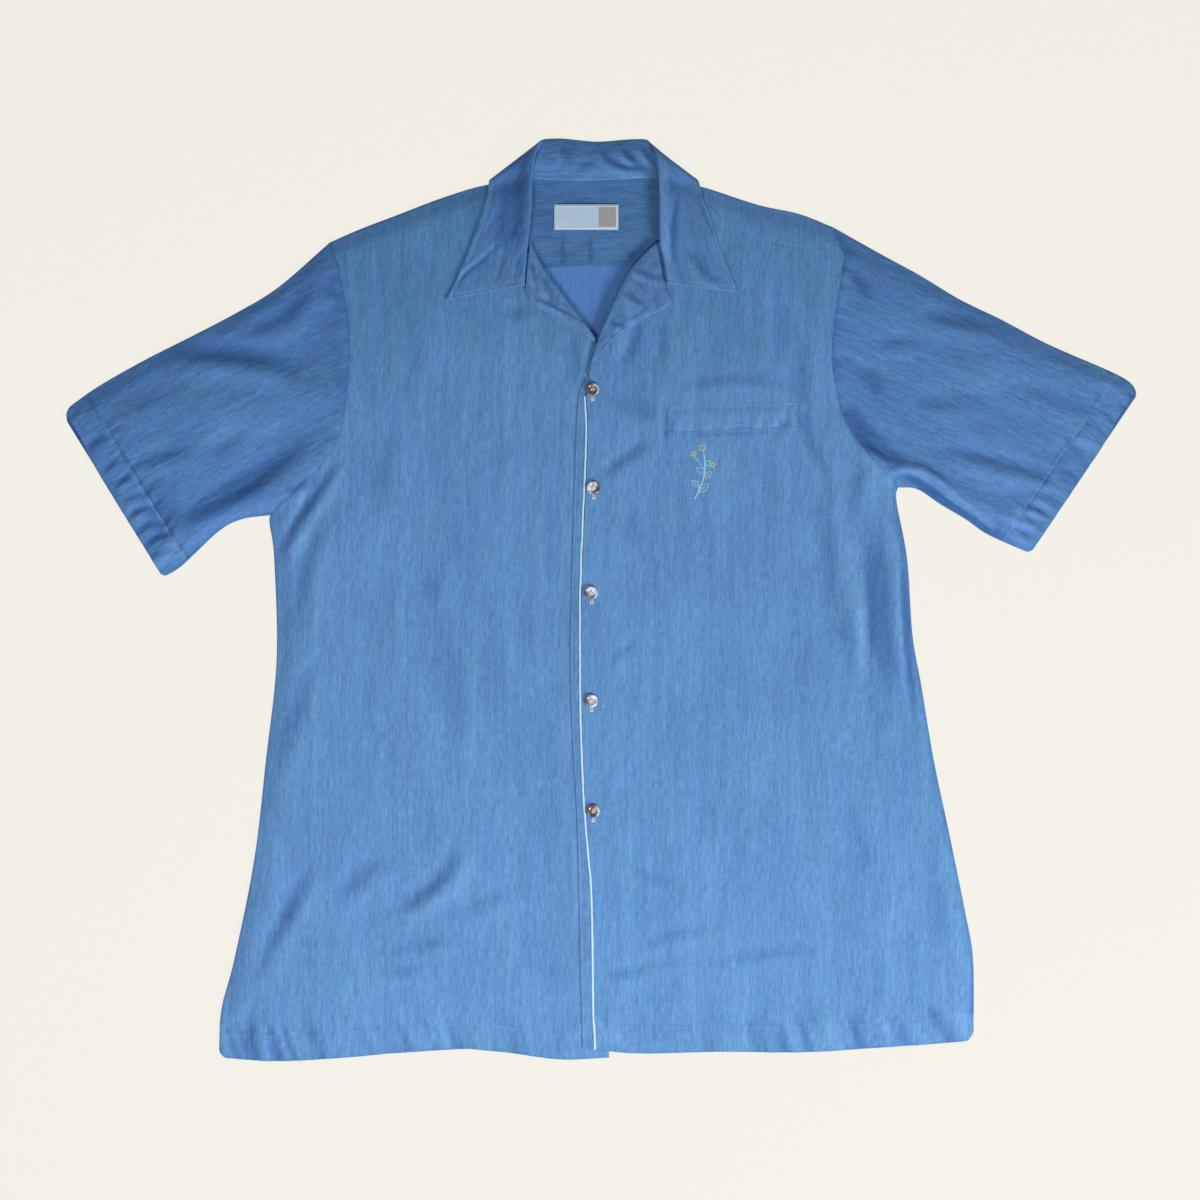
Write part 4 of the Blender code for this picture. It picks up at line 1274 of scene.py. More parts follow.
@dataclass
class Yoke:
    """The back yoke: its inside shows in the neck, and it turns over the shoulders to the front."""

    drape: Drape
    back: BackPanel
    shoulder_points: int = 54
    neck_points: int = 84
    side_points: int = 17
    tuck_in: float = 0.1  # how far its sides reach under the sleeves
    under_seam: float = 0.05  # how far its lower edge reaches under the back's
    lap: float = 0.35  # how far its lower edge stands over the back's
    strip: tuple[float, float] = (150.0, 18.0)  # length and depth of a front strip

    def build(self, finish: bpy.types.Material) -> None:
        """Args:
            finish: its material.
        """
        shoulders, sides = [], []
        for half in (RIGHT, LEFT):
            sign = half.side.value
            line = shifted(through(half.shoulder, self.shoulder_points), -sign * BEND)
            line[0, 0] -= sign * self.tuck_in
            run = np.linspace(YOKE_BACK_AT, 0, self.side_points) / length_of(half.armhole)
            hole = shifted(through(half.armhole, run), sign * self.tuck_in)
            hole[-1] = line[0]
            shoulders.append(line)
            sides.append(hole)
        top = joined(shoulders[0], through(NECK, self.neck_points), shoulders[1][::-1])
        low = along(self.back.seam(-GAP / 2 - self.under_seam), (fractions(top) + np.linspace(0, 1, len(top))) / 2)
        plan = patch(*sides, low, top)
        main = self.drape.raised(plan, 0)
        x, y = plan[..., 0], plan[..., 1]
        main[..., 2] += relief_of(TUCKS, x, y)
        from_seam = np.linalg.norm(plan - plan[:1], axis=-1)
        main[..., 2] += self.lap * bell(from_seam / 2.5) * (1 + 0.5 * noise(x / 6, y / 6, 51))
        main[..., 2] += 0.3 * smooth_step(noise(x / 40, y / 12, 52) * 1.5) * smooth_step(from_seam / 10)
        # painted shade on one side of each tuck and painted highlight on the other; painted shade along the seam with
        # the back
        painted_tuck_shading = 2.4 * relief_of(TUCKS, x - 2.2, y) - 0.8 * relief_of(TUCKS, x + 1.0, y)
        shade = 0.7 * bell((from_seam - 2.6) / 1.4) + painted_tuck_shading + 0.25 * noise(x / 14, y / 5, 53)
        ends = (slice(0, self.shoulder_points), slice(-self.shoulder_points, None))
        strips = [self.front_strip(half, line, main[-1, end])
                  for half, line, end in zip((RIGHT, LEFT), shoulders, ends)]
        cut = Cut.of(plan, Grain.ACROSS)
        length, depth = self.strip
        cut = Cut(cut.width + 2 * depth * MM, cut.length, cut.area + 2 * length * depth * MM**2)
        Cloth("yoke", [main, *strips], [Grain.ACROSS, Grain.DOWN, Grain.DOWN],
              worn=[bell(from_seam / 1.2) * 0.12, 0.0, 0.0], inner=[1.0, 0.0, 0.0],
              painted_shading=[np.clip(shade, -1, 1)] + [self.drape.painted_shading(strip[..., 0], strip[..., 1]) for strip in strips]
              ).lay(finish, cut, "floor", "collar")

    def front_strip(self, half: Pattern, shoulder: np.ndarray, row: np.ndarray) -> np.ndarray:
        """One front strip, from the shoulder's fold to the seam with the front.

        Args:
            half: the shirt's half.
            shoulder: the fold's line, from the armhole to the neck.
            row: the main part's points along it.

        Returns:
            The strip's grid, whose first row is the main part's.
        """
        sign = half.side.value
        seam = (armhole_at(half, YOKE_FRONT_AT), *half.yoke_seam)
        end = shifted(through(seam, len(shoulder)), sign * GAP / 2)
        end[0, 0] -= sign * self.tuck_in
        if half.side is Side.LEFT:
            shoulder, end = shoulder[::-1], end[::-1]
        share = graded(self.strip[1], 2.2, far=0.5)[:, None, None]
        plan = shoulder * (1 - share) + end * share
        top = np.flip(rolled(np.flip(self.drape.raised(plan, 1), 0), 0.2), 0)
        return np.concatenate([row[None], folded(row, row + (0, 0, 2 * BEND), left_of(directions(shoulder))), top])


@dataclass
class FrontPanel:
    """One front: from the yoke's seam and the neck opening down to the hem."""

    drape: Drape
    name: str
    half: Pattern
    edge_line: Table
    edge_shift: float
    upper: bool
    opening_inset: float = 1.8
    hem_stitch: float = 21.0

    def plan(self) -> tuple[np.ndarray, np.ndarray]:
        """The panel in plan.

        Returns:
            Its grid, rows from the top to the hem and columns from the side to the front edge, and
            the radius that its outer edge rolls with.
        """
        half, sign = self.half, self.half.side.value
        edge, radius = body_edge(half, YOKE_FRONT_AT, self.hem_stitch)
        seam = (armhole_at(half, YOKE_FRONT_AT), *half.yoke_seam)
        top = joined(
            shifted(through(seam, graded(length_of(seam), near=0.5)), -sign * GAP / 2),
            through(half.neckline, graded(length_of(half.neckline))),
            shifted(through(half.opening, graded(length_of(half.opening), 2.4)), -sign * self.opening_inset),
        )
        front = shifted(through(self.edge_line, fractions(edge)), self.edge_shift)
        hem = half.hem if half.side is Side.RIGHT else half.hem[::-1]
        by_width = (top[:, 0] - top[0, 0]) / (top[-1, 0] - top[0, 0])
        low = through(hem, np.clip((fractions(top) + by_width) / 2, 0, 1))
        return rounded(patch(edge, front, top, low), hem[0], half.side_seam[-2], hem[1], CORNER), radius

    def build(self, finish: bpy.types.Material, *rests_on: str) -> None:
        """Makes the panel with its rolled side and seam edges, and measures its cut.

        Args:
            finish: its material.
            rests_on: what it lies on; not used.
        """
        plan, radius = self.plan()
        cut = Cut.of(plan, Grain.DOWN)
        plan = pulled_in(plan.transpose(1, 0, 2), radius).transpose(1, 0, 2)
        solid = self.drape.raised(plan, self.drape.over_front(plan[..., 0]) if self.upper else 1.0)
        solid = rolled(solid.transpose(1, 0, 2), radius).transpose(1, 0, 2)
        from_top = np.linalg.norm(plan - plan[:1], axis=-1)
        at_seam = 0.15 * bell(from_top / 1.2) * smooth_step((np.abs(plan[:1, :, 0]) - 62) / 8)
        rolled_columns = solid.shape[1] - plan.shape[1]
        solid[..., 2] -= np.pad(at_seam, ((0, 0), (rolled_columns, 0)), mode="edge")
        Cloth(self.name, [solid], [Grain.DOWN], painted_shading=[self.drape.painted_shading(solid[..., 0], solid[..., 1])]
              ).lay(finish, cut, *rests_on)


@dataclass
class Sleeve:
    """A short sleeve, flattened: lower layer, underarm fold, upper layer and top fold in one ring."""

    drape: Drape
    name: str
    half: Pattern
    top_corner: float
    low_corner: float = 4.5
    hem_stitch: float = 25.0
    hem_step_back: float = 3.2  # how far the upper layer's hem draws back near the top fold

    def build(self, finish: bpy.types.Material) -> None:
        """Makes the sleeve and measures its cut, which goes all round.

        Args:
            finish: its material.
        """
        half = self.half
        around = graded(length_of(half.armhole), near=0.9, far=0.9)
        hole = shifted(through(half.armhole, around), -half.side.value * GAP / 2)
        length = (length_of(half.sleeve_top) + length_of(half.underarm)) / 2
        out = graded(length, near=0.6, far=0.9, fine=(self.hem_stitch,))
        top, under = (through(line, out) for line in (half.sleeve_top, half.underarm))
        plan = patch(top, under, hole, through(half.sleeve_hem, around)).transpose(1, 0, 2)
        high, low = half.sleeve_hem
        plan = rounded(plan, high, half.sleeve_top[-2], low, self.top_corner)
        plan = rounded(plan, low, half.underarm[-2], high, self.low_corner)
        cut = Cut.of(plan, half.grain, layers=2)
        plan = at_both_ends(pulled_in, plan, BEND, BEND)
        lower = np.flip(self.drape.raised(plan, 0), 0)
        upper = self.drape.raised(self.drawn_back(plan, around), 1)
        upper[:, 0, 2] -= 0.25
        ring = np.concatenate([upper, folded(upper[-1], lower[0], unit(plan[-1] - plan[-2])),
                               lower, folded(lower[-1], upper[0], unit(plan[0] - plan[1])), upper[:1]])
        # painted shade on the folds' rows, and on the lower layer near the hem where it shows past the upper one
        fold = np.full((6, len(out)), 0.4)
        painted_lower_shade = np.broadcast_to(0.8 * smooth_step((out - 0.9) / 0.06), lower.shape[:2])
        shade = self.drape.painted_shading(upper[..., 0], upper[..., 1])
        Cloth(self.name, [ring], [half.grain], painted_shading=[np.concatenate([shade, fold, painted_lower_shade, fold, shade[:1]])]
              ).lay(finish, cut, "floor")

    def drawn_back(self, plan: np.ndarray, around: np.ndarray) -> np.ndarray:
        """The upper layer's plan, drawn back a little at the hem near the top fold."""
        shift = self.hem_step_back * bell((around - 0.12) / 0.14) * smooth_step(around / 0.03)
        reach = smooth_step((fractions(plan[len(plan) // 2]) - 0.85) / 0.15)
        return plan - (shift[:, None] * unit(plan[:, -1] - plan[:, -2]))[:, None] * reach[None, :, None]


# ---------------------------------------------------------------------------------------------
# Collar and lapels
# ---------------------------------------------------------------------------------------------

# seam x, seam y, roll x, roll y, edge x, edge y, seam's layer, edge's layer, roll's height, leaf side:
# from the right front end round the neck to the left one; the leaf lies above the stand at 1, behind at -1
COLLAR = (
    (-67, 266, -64, 266.5, -129.5, 254, 2, 2.3, 0.6, 1),
    (-67, 287, -62.5, 287, -117, 280, 2, 2.3, 1.2, 1),
    (-67.5, 304, -61, 304.5, -108, 303, 2, 2.2, 2.4, 1),
    (-69.5, 325, -58, 331, -99.5, 325, 1.2, 2.2, 4.4, 1),
    (-71, 344, -57.5, 356, -94.5, 344, 1, 2.2, 4, 1),
    (-67, 353.5, -54, 379.5, -94, 353, 1, 2.5, 1.8, 0.8),
    (-65, 358, -51, 388, -91.5, 357, 0.9, 0.5, 0.3, 0),
    (-61, 359, -47, 390.5, -87.5, 354.5, 0.3, -1, 0, -0.9),
    (-56, 359, -42, 391, -78, 343, 0, -1, 0, -1),
    (-36, 358, -30, 391, -57, 333, 0, -1, 0, -1),
    (-2, 358, -2, 388.5, -2, 328, 0, -1, 0, -1),
    (30, 359.5, 26, 390.5, 42, 333, 0, -1, 0, -1),
    (53, 360.5, 38.5, 390.5, 67.5, 343, 0, -1, 0, -1),
    (57, 360, 42, 388.5, 77.5, 354.5, 0.3, -1, 0, -0.9),
    (59, 359, 45, 384.5, 81.5, 357, 0.9, 0.5, 0.3, 0),
    (60.5, 353.5, 48.5, 374, 85, 352, 1, 2.5, 1.8, 0.8),
    (66, 344, 50.5, 356, 87, 341, 1, 2.2, 4, 1),
    (63, 325, 51, 331, 93.5, 324, 1.1, 2.2, 4.4, 1),
    (57.5, 304, 51.5, 304.5, 100, 303, 2, 2.2, 2.4, 1),
    (59.5, 286.5, 55, 286.5, 108.5, 282, 2, 2.3, 1.2, 1),
    (61, 268.5, 58, 268, 117, 260.5, 2, 2.3, 0.6, 1),
)
LEAF_CREASES = creases(
    (0.9, 2, 0.8, -84, 302, -98, 289.5, -114, 276.5, -126, 261),
    (0.8, 2, 0.6, -78.5, 303, -83.5, 282, -89.5, 267),
    (0.7, 1.9, 0.4, -66.5, 296, -72, 273),
    (1, 2.8, 0.5, 67, 344, 62, 318, 61.5, 300, 64, 272),
    (0.7, 1.8, 0, 81, 345, 88, 328, 96, 310),
    (0.6, 4, 0.8, 72, 300, 92, 276, 112, 264),
    (0.4, 3, 0.4, 82, 290, 88, 268),
)
STAND_CREASES = creases(
    (1.3, 3, 0.9, 16, 389, 24, 378, 33, 370),
    (1.1, 3, 0.8, -2, 384, 10, 372, 30, 366, 44, 365),
    (0.5, 4, 0.4, -34, 388, -26, 372),
    (0.9, 2.6, 0.7, 34, 386, 44, 372),
    (0.4, 4, 0.3, -20, 364, -4, 372),
)


@dataclass(frozen=True)
class Sections:
    """The collar's sections, with one point or value each."""

    seam: np.ndarray
    roll: np.ndarray
    edge: np.ndarray
    seam_layer: np.ndarray
    edge_layer: np.ndarray
    roll_z: np.ndarray
    bend: np.ndarray
    side: np.ndarray

    @property
    def seen(self) -> np.ndarray:
        """How much of a leaf lies in front: 1 for a visible one."""
        return smooth_step(self.side)

    @property
    def behind(self) -> np.ndarray:
        """How much of a leaf lies behind the neck."""
        return np.clip(-self.side, 0, 1)


@dataclass
class Collar:
    """A one-piece collar: stand, roll and leaf, section by section round the neck."""

    drape: Drape
    sections: int = 210
    roll_radius: float = 0.85
    roll_column: int = 16  # which points of the sections lie on the roll
    stand_bulge: float = 2.8
    fall: float = 9.5  # how far from the roll its height falls off
    trough: float = 0.5
    lap: float = 2.0  # how far the stand reaches over the yoke's edge
    stitch_inset: float = 4.0
    wall: float = 1.2  # two cloths and what stiffens them

    def table(self) -> Sections:
        """The sections' values, read through the table's rows and kept in range."""
        rows = through(COLLAR, self.sections)
        seam, roll, edge = rows[:, 0:2], rows[:, 2:4], rows[:, 4:6]
        seam_layer, edge_layer = np.maximum(rows[:, 6], 0), np.maximum(rows[:, 7], -1)
        roll_z = self.drape.level((seam_layer + edge_layer) / 2, *roll.T) + np.maximum(rows[:, 8], 0)
        side = np.clip(rows[:, 9], -1, 1)
        bend = np.where(side < 0, BEND, self.roll_radius)
        return Sections(seam, roll, edge, seam_layer, edge_layer, roll_z, bend, side)

    def leaf(self, t: Sections, outer: np.ndarray, share: float | np.ndarray) -> np.ndarray:
        """Points of the leaf at a share of the way from the roll to the outer edge.

        The leaf lies on its layer with its own creases. The roll's height falls off as a bell, with
        a trough beyond it.

        Args:
            t: the sections.
            outer: where the roll ends.
            share: the share, one for all sections or one each.

        Returns:
            One point for each section.
        """
        share = np.broadcast_to(np.asarray(share, float), len(outer))
        end = self.drape.raised(t.edge, t.edge_layer)
        point = outer * (1 - share[:, None]) + end * share[:, None]
        stands = outer[:, 2] - self.drape.level(t.edge_layer, *outer[:, :2].T)
        width = np.linalg.norm(end[:, :2] - outer[:, :2], axis=1)
        run, left = width * share, width * (1 - share)
        place = point[:, :2].T
        lying = self.drape.level(t.edge_layer, *place) + relief_of(LEAF_CREASES, *place) * t.seen
        trough = self.trough * bell((run - 1.35 * self.fall) / (0.55 * self.fall)) * t.seen
        point[:, 2] = lying + stands * bell(run / self.fall) * smooth_step(left / 6) - trough
        point[:, 2] -= 0.3 * bell((left - self.stitch_inset) / 1.1) - 0.12 * bell((left - 1.6) / 1.4)
        return point

    def roll(self, t: Sections, turn: float) -> np.ndarray:
        """Points round the roll: a half circle from the stand, at -90 degrees, to the leaf, at 90."""
        way = unit((t.seam if turn < 0 else t.edge) - t.roll)
        return np.column_stack([t.roll + t.bend[:, None] * (1 - math.cos(turn)) * way,
                                t.roll_z + t.side * t.bend * math.sin(turn)])

    def build(self, finish: bpy.types.Material) -> list[np.ndarray]:
        """Makes the collar and measures its cut.

        Args:
            finish: its material.

        Returns:
            The lines of its topstitching.
        """
        t = self.table()
        start = self.drape.raised(t.seam, t.seam_layer)
        start[:, 1] -= self.lap * t.behind
        start[:, 2] += (0.75 + 0.25 * noise(start[:, 0] / 4, 0 * t.behind, 64)) * t.behind
        inner, outer = self.roll(t, -math.pi / 2), self.roll(t, math.pi / 2)
        section = []
        for share in np.linspace(0, 1, 14)[:-1]:
            point = start * (1 - share) + inner * share
            own = self.stand_bulge + 2.3 * relief_of(STAND_CREASES, *point[:, :2].T)
            point[:, 2] += own * math.sin(math.pi * share) * t.behind
            section.append(point)
        section += [self.roll(t, turn) for turn in np.linspace(-math.pi / 2, math.pi / 2, 7)]
        shares = np.unique(np.concatenate([np.linspace(0, 0.9, 25)[1:], np.linspace(0.88, 1, 9)]))
        section += [self.leaf(t, outer, share) for share in shares]
        solid = np.stack(section, axis=1)
        run = run_down(solid[..., :2])
        from_end = np.minimum(run, run_down(solid[::-1, :, :2])[::-1])
        solid[..., 2] -= 0.3 * bell((from_end - self.stitch_inset) / 1.1)
        across = run_down(solid.transpose(1, 0, 2)).T
        grain = np.stack([across, np.broadcast_to(run[:, [self.roll_column]], across.shape)], axis=-1)
        width, length = float(across.max()), float(np.ptp(grain[..., 1]))
        cut = Cut(width * MM, length * MM, min(area_of(solid), 0.999 * width * length) * MM**2)
        Cloth("collar", [solid], [grain], [self.worn(t, across, from_end)], [self.painted_shading(t, solid, across)],
              wall=self.wall).lay(finish, cut, "yoke", "front_left", "front_right")
        return self.stitch_lines(t, outer, solid)

    def worn(self, t: Sections, across: np.ndarray, from_end: np.ndarray) -> np.ndarray:
        """How worn pale the collar is: at its edges, along its topstitching, and at its seam behind.

        Args:
            t: the sections.
            across: each point's length run from the seam.
            from_end: each point's distance from the nearer front end.

        Returns:
            The share at each point, from 0 to 1.
        """
        left, inset = np.abs(across[:, -1:] - across), self.stitch_inset
        worn = (0.4 * bell(left / 0.9) + 0.25 * bell((left - inset) / 0.7)) * t.seen[:, None]
        worn = np.maximum(worn, 0.5 * bell(from_end / 0.9) + 0.35 * bell((from_end - inset) / 0.7))
        return np.clip(np.maximum(worn, 0.15 * bell(across / 1.2) * t.behind[:, None]), 0, 1)

    def painted_shading(self, t: Sections, solid: np.ndarray, across: np.ndarray) -> np.ndarray:
        """The collar's painted shading: painted shade in its creases, over the right leaf and on the stand, and a
        painted highlight on the left leaf's roll.

        Args:
            t: the sections.
            solid: the collar's points.
            across: each point's length run from the seam.

        Returns:
            The shade at each point, from -1 on crests to 1 in hollows.
        """
        x, y = solid[..., 0], solid[..., 1]
        from_roll = across - across[:, [self.roll_column]]
        right = smooth_step(-t.roll[:, 0] / 20)[:, None]
        shade = right * 1.15 * bell((from_roll - 18) / 15) * smooth_step((y - 285) / 25)
        shade += (1 - right) * (0.45 * bell((from_roll - 13) / 4) - 0.85 * bell((from_roll - 3.5) / 5))
        shade += 0.5 * bell((from_roll + 5) / 3) - 1.2 * relief_of(LEAF_CREASES, x, y)
        stand = -2.0 * relief_of(STAND_CREASES, x, y) + 0.3 * noise(x / 7, y / 9, 63)
        stand += 0.5 * bell((across - 3.5) / 1.5) * (1 + noise(x / 3, 0 * x, 65))
        return np.clip(t.seen[:, None] * shade + t.behind[:, None] * stand, -1, 1)

    def stitch_lines(self, t: Sections, outer: np.ndarray, solid: np.ndarray) -> list[np.ndarray]:
        """The topstitching: along the outer edge of both visible leaves, and across their front ends.

        Args:
            t: the sections.
            outer: where the roll ends.
            solid: the collar's points.

        Returns:
            One line for each leaf.
        """
        width = np.linalg.norm(t.edge - outer[:, :2], axis=1)
        line = self.leaf(t, outer, 1 - self.stitch_inset / width)
        near = np.arange(len(line)) < len(line) // 2
        lines = []
        for way in (1, -1):
            own = solid[::way]
            run = run_down(own[..., :2])
            seen = (t.side[::way] > 0.7) & near & (run[:, -1] > self.stitch_inset)
            across = [[np.interp(self.stitch_inset, run[:, k], own[:, k, axis]) for axis in range(3)]
                      for k in range(21, own.shape[1] - 2, 2)]
            lines.append(np.vstack([across, line[::way][seen]]) + (0, 0, self.wall / 2))
        return lines


# fold x, fold y, edge x, edge y, from the collar down
LAPEL_RIGHT = ((-59, 302, -62.5, 262.5), (-49.5, 283.5, -54, 248.5), (-33.5, 261, -37, 241),
               (-16.5, 239, -19.5, 232), (-3, 220.5, -4.8, 219))
LAPEL_LEFT = ((48, 302, 55.5, 265), (38.5, 293.5, 59, 250.5), (23.5, 275, 38.5, 238.5), (7, 240, 16.5, 225),
              (-2, 218, 2.5, 211), (-7.5, 200, -4.2, 199), (-9.6, 190, -7.6, 189.6))
LAPEL_RIGHT_CREASES = creases(
    (1.0, 3, 0.8, -50, 276, -40, 256),
    (0.9, 2.5, 0.8, -60, 290, -52, 262),
    (0.9, 1.9, 0.3, -63, 260.5, -41, 250.5, -16, 237),
)
LAPEL_LEFT_CREASES = creases(
    (1.2, 3, 1.0, 20, 262, 38, 250),
    (1.0, 3, 0.8, 28, 282, 50, 272),
    (0.9, 2.5, 0.7, 8, 236, 22, 232),
)


@dataclass
class Lapel:
    """A front's top turned back: it lies on the front, and turns down round the front's edge."""

    drape: Drape
    name: str
    rows: Table
    folds: tuple[Crease, ...]
    upper: bool
    turn_radius: float = 1.0
    stitch_inset: float = 3.2
    wall: float = 1.0
    layers_up: float = 1.35  # from the front's layer to its own

    def layer(self, x: np.ndarray) -> np.ndarray | float:
        """The lapel's layer, which follows its front's."""
        return (self.drape.over_front(x) if self.upper else 1.0) + self.layers_up

    def build(self, finish: bpy.types.Material) -> np.ndarray:
        """Makes the lapel and measures its cut.

        Args:
            finish: its material.

        Returns:
            The line of its edge stitching.
        """
        table = through(self.rows, graded(length_of(self.rows), 1.7))
        fold, outer = table[:, :2], table[:, 2:]
        width = np.linalg.norm(outer - fold, axis=1)
        inward = (outer - fold) / width[:, None]
        shares = np.linspace(0, 1, 22)[:, None]
        plan = np.stack([outer * (1 - t) + (fold + self.turn_radius * inward) * t for t in shares])
        top = self.drape.raised(plan, self.layer(plan[..., 0]))
        x, y, from_edge = plan[..., 0], plan[..., 1], shares * width
        inland = smooth_step(from_edge / 4) * smooth_step((width - from_edge) / 4)
        top[..., 2] += relief_of(self.folds, x, y)
        top[..., 2] += 0.4 * noise(x / 5, y / 5, 61) * inland + 0.9 * inland * smooth_step((width - 16) / 20)
        top[..., 2] -= 0.25 * bell(from_edge - self.stitch_inset) * smooth_step((width - 6) / 3)
        turned = [np.column_stack([fold + self.turn_radius * (1 - math.sin(turn)) * inward,
                                   top[-1, :, 2] - self.turn_radius * (1 - math.cos(turn))])
                  for turn in np.linspace(0, math.pi / 2, 6)[1:]]
        solid = np.concatenate([top, turned, [turned[-1] - (0, 0, 0.5)]])
        run = run_down(solid)
        down = np.broadcast_to(fractions(fold) * length_of(fold), run.shape)
        worn = 0.4 * bell(run / 0.9) + 0.2 * bell((run - self.stitch_inset) / 0.7) + 0.1
        x, y = solid[..., 0], solid[..., 1]
        # painted shade in the lapel's creases and in a line inside its stitching, painted highlight on crest ridges,
        # uneven painted shading from noise
        shade = -1.4 * relief_of(self.folds, x, y) + 0.6 * noise(x / 5, y / 5, 62) + 0.4 * bell((run - 5.5) / 1.5)
        cut = Cut(float(run.max()) * MM, float(down.max()) * MM, area_of(solid) * MM**2)
        Cloth(self.name, [solid], [np.stack([down, run], axis=-1)], [np.clip(worn, 0, 1)],
              [np.clip(shade, -1, 1)], wall=self.wall
              ).lay(finish, cut, "front_left" if self.upper else "front_right", slot="chambray_inside")
        share = np.clip(self.stitch_inset / width, 0, 0.5)[:, None]
        line = outer * (1 - share) + fold * share
        return self.drape.raised(line, self.layer(line[:, 0]), self.wall / 2 - 0.2)[width > 9]


# ---------------------------------------------------------------------------------------------
# Front edge, pocket and label
# ---------------------------------------------------------------------------------------------

UNDER_FRONT_EDGE = ((8, 204), (8, 100), (8, -389))
PIPING_LINE = ((-12.5, 173), (-11.5, 135.5), (-15, 50.5), (-16.5, 5), (-16.5, -85.5), (-14, -162), (-10, -213),
               (-7, -255.5), (-5.5, -340), (-4, -382))
BAND_EDGE = ((-9.3, 191), (-13.4, 183), (-17, 174), (-19.5, 143), (-22.5, 50.5), (-24.5, -36), (-23.5, -102),
             (-18.5, -196), (-15.5, -338), (-14, -380.5))
BAND_TOP = ((-8.0, 191), (-10.6, 181))
PIPING_RADIUS = 0.95
PIPING_SEAM = 0.4 * PIPING_RADIUS  # from the piping's middle to the cloth on both sides


@dataclass
class FrontEdge:
    """The upper front's edge: a narrow band, and the white piping between it and the front."""

    drape: Drape
    sides: int = 12
    waver: float = 0.28
    piping_lift: float = 0.45
    edge_roll: float = 0.5
    shares: tuple[float, ...] = (0, 0.15, 0.32, 0.5, 0.68, 0.84, 0.94, 1.0)  # the band's rows

    def band(self, finish: bpy.types.Material) -> None:
        """Makes the band, rolled down at its outer edge, and measures its cut.

        Args:
            finish: its material.
        """
        inner = shifted(through(BAND_TOP + PIPING_LINE, 200), -PIPING_SEAM)
        share = np.array(self.shares)[:, None]
        plan = through(BAND_EDGE, 200) * (1 - share[..., None]) + inner * share[..., None]
        cut = Cut.of(plan, Grain.DOWN)
        plan = pulled_in(plan, self.edge_roll)
        solid = self.drape.raised(plan, self.drape.over_front(plan[..., 0]))
        solid[..., 2] += 0.18 * noise(plan[..., 0] / 9, plan[..., 1] / 7, 71) * np.sin(math.pi * share)
        solid[..., 2] -= 0.42 * (1 - share) ** 2
        solid = rolled(solid, self.edge_roll)
        row = np.arange(len(solid))[:, None]
        # painted shade in a dashed line along the band's outer edge
        ticks = noise(solid[..., 1] / 4.5, 0 * solid[..., 1], 73)
        painted_shading = np.clip(0.3 * bell((row - 4.5) / 1.5) * (1 + ticks) - 0.3 * ticks, -1, 1)
        # the worn value here paints a pale line along the band's turned edge as a painted highlight
        Cloth("front_band", [solid], [Grain.DOWN], [0.4 * bell((row - 3.0) / 1.2)], [painted_shading]
              ).lay(finish, cut, "front_right")

    def piping(self, finish: bpy.types.Material) -> None:
        """Makes the piping: a round section carried along its line, which wavers a little.

        Args:
            finish: its material.
        """
        line = through(PIPING_LINE, 420)
        run = fractions(line) * length_of(PIPING_LINE)
        waver = self.waver * noise(run / 17, run * 0 + 0.5, 81) + 0.1 * noise(run / 4, run * 0, 82)
        line = shifted(line, waver[:, None])
        middle = self.drape.raised(line, self.drape.over_front(line[:, 0]), self.piping_lift)[:, None]
        turn = np.linspace(0, 2 * math.pi, self.sides, endpoint=False)[:, None]
        across = np.pad(left_of(directions(line)), ((0, 0), (0, 1)))[:, None]
        radius = PIPING_RADIUS * (1 + 0.09 * noise(run / 3.1, run * 0 + 0.3, 83)
                                  - 0.12 * bell(np.minimum(run, run[::-1])))[:, None, None]
        mesh = closed_tube("piping", middle + radius * (np.cos(turn) * across + 0.92 * np.sin(turn) * (0, 0, 1)))
        log.info("piping: %d faces", len(mesh.polygons))
        dress(add_object("piping_cord", mesh, finish), "white_piping", "piping")


POCKET = ((58, 163.5), (168, 167), (168, 146.5), (58, 141.5))
POCKET_CREASES = creases(
    (0.7, 2.0, 0.8, 148, 164, 152, 152, 149, 144),
    (0.5, 1.8, 0.6, 139, 160, 138, 145),
    (0.7, 1.6, 0.5, 61, 163, 61, 144),
)
LABEL = ((-38.5, 335.5), (16, 335.5), (16, 314), (-38.5, 314))


def laid_grid(corners: Table, step: float) -> tuple[np.ndarray, np.ndarray, np.ndarray]:
    """A plan grid between four corners.

    Args:
        corners: upper left, upper right, lower right and lower left.
        step: distance between points.

    Returns:
        The grid from its upper edge down, and each point's distance from the nearest side and from
        the lower edge.
    """
    a, b, c, d = (np.array(corner, float) for corner in corners)
    width, height = np.linalg.norm(b - a), np.linalg.norm(d - a)
    u = graded(height, step, near=0.5, far=0.5)[:, None, None]
    v = graded(width, step, near=0.5, far=0.5)[None, :, None]
    plan = (1 - u) * ((1 - v) * a + v * b) + u * ((1 - v) * d + v * c)
    u, v = u[..., 0], v[..., 0]
    nearest = np.minimum(np.minimum(u, 1 - u) * height, np.minimum(v, 1 - v) * width)
    return plan, nearest, np.broadcast_to((1 - u) * height, nearest.shape)


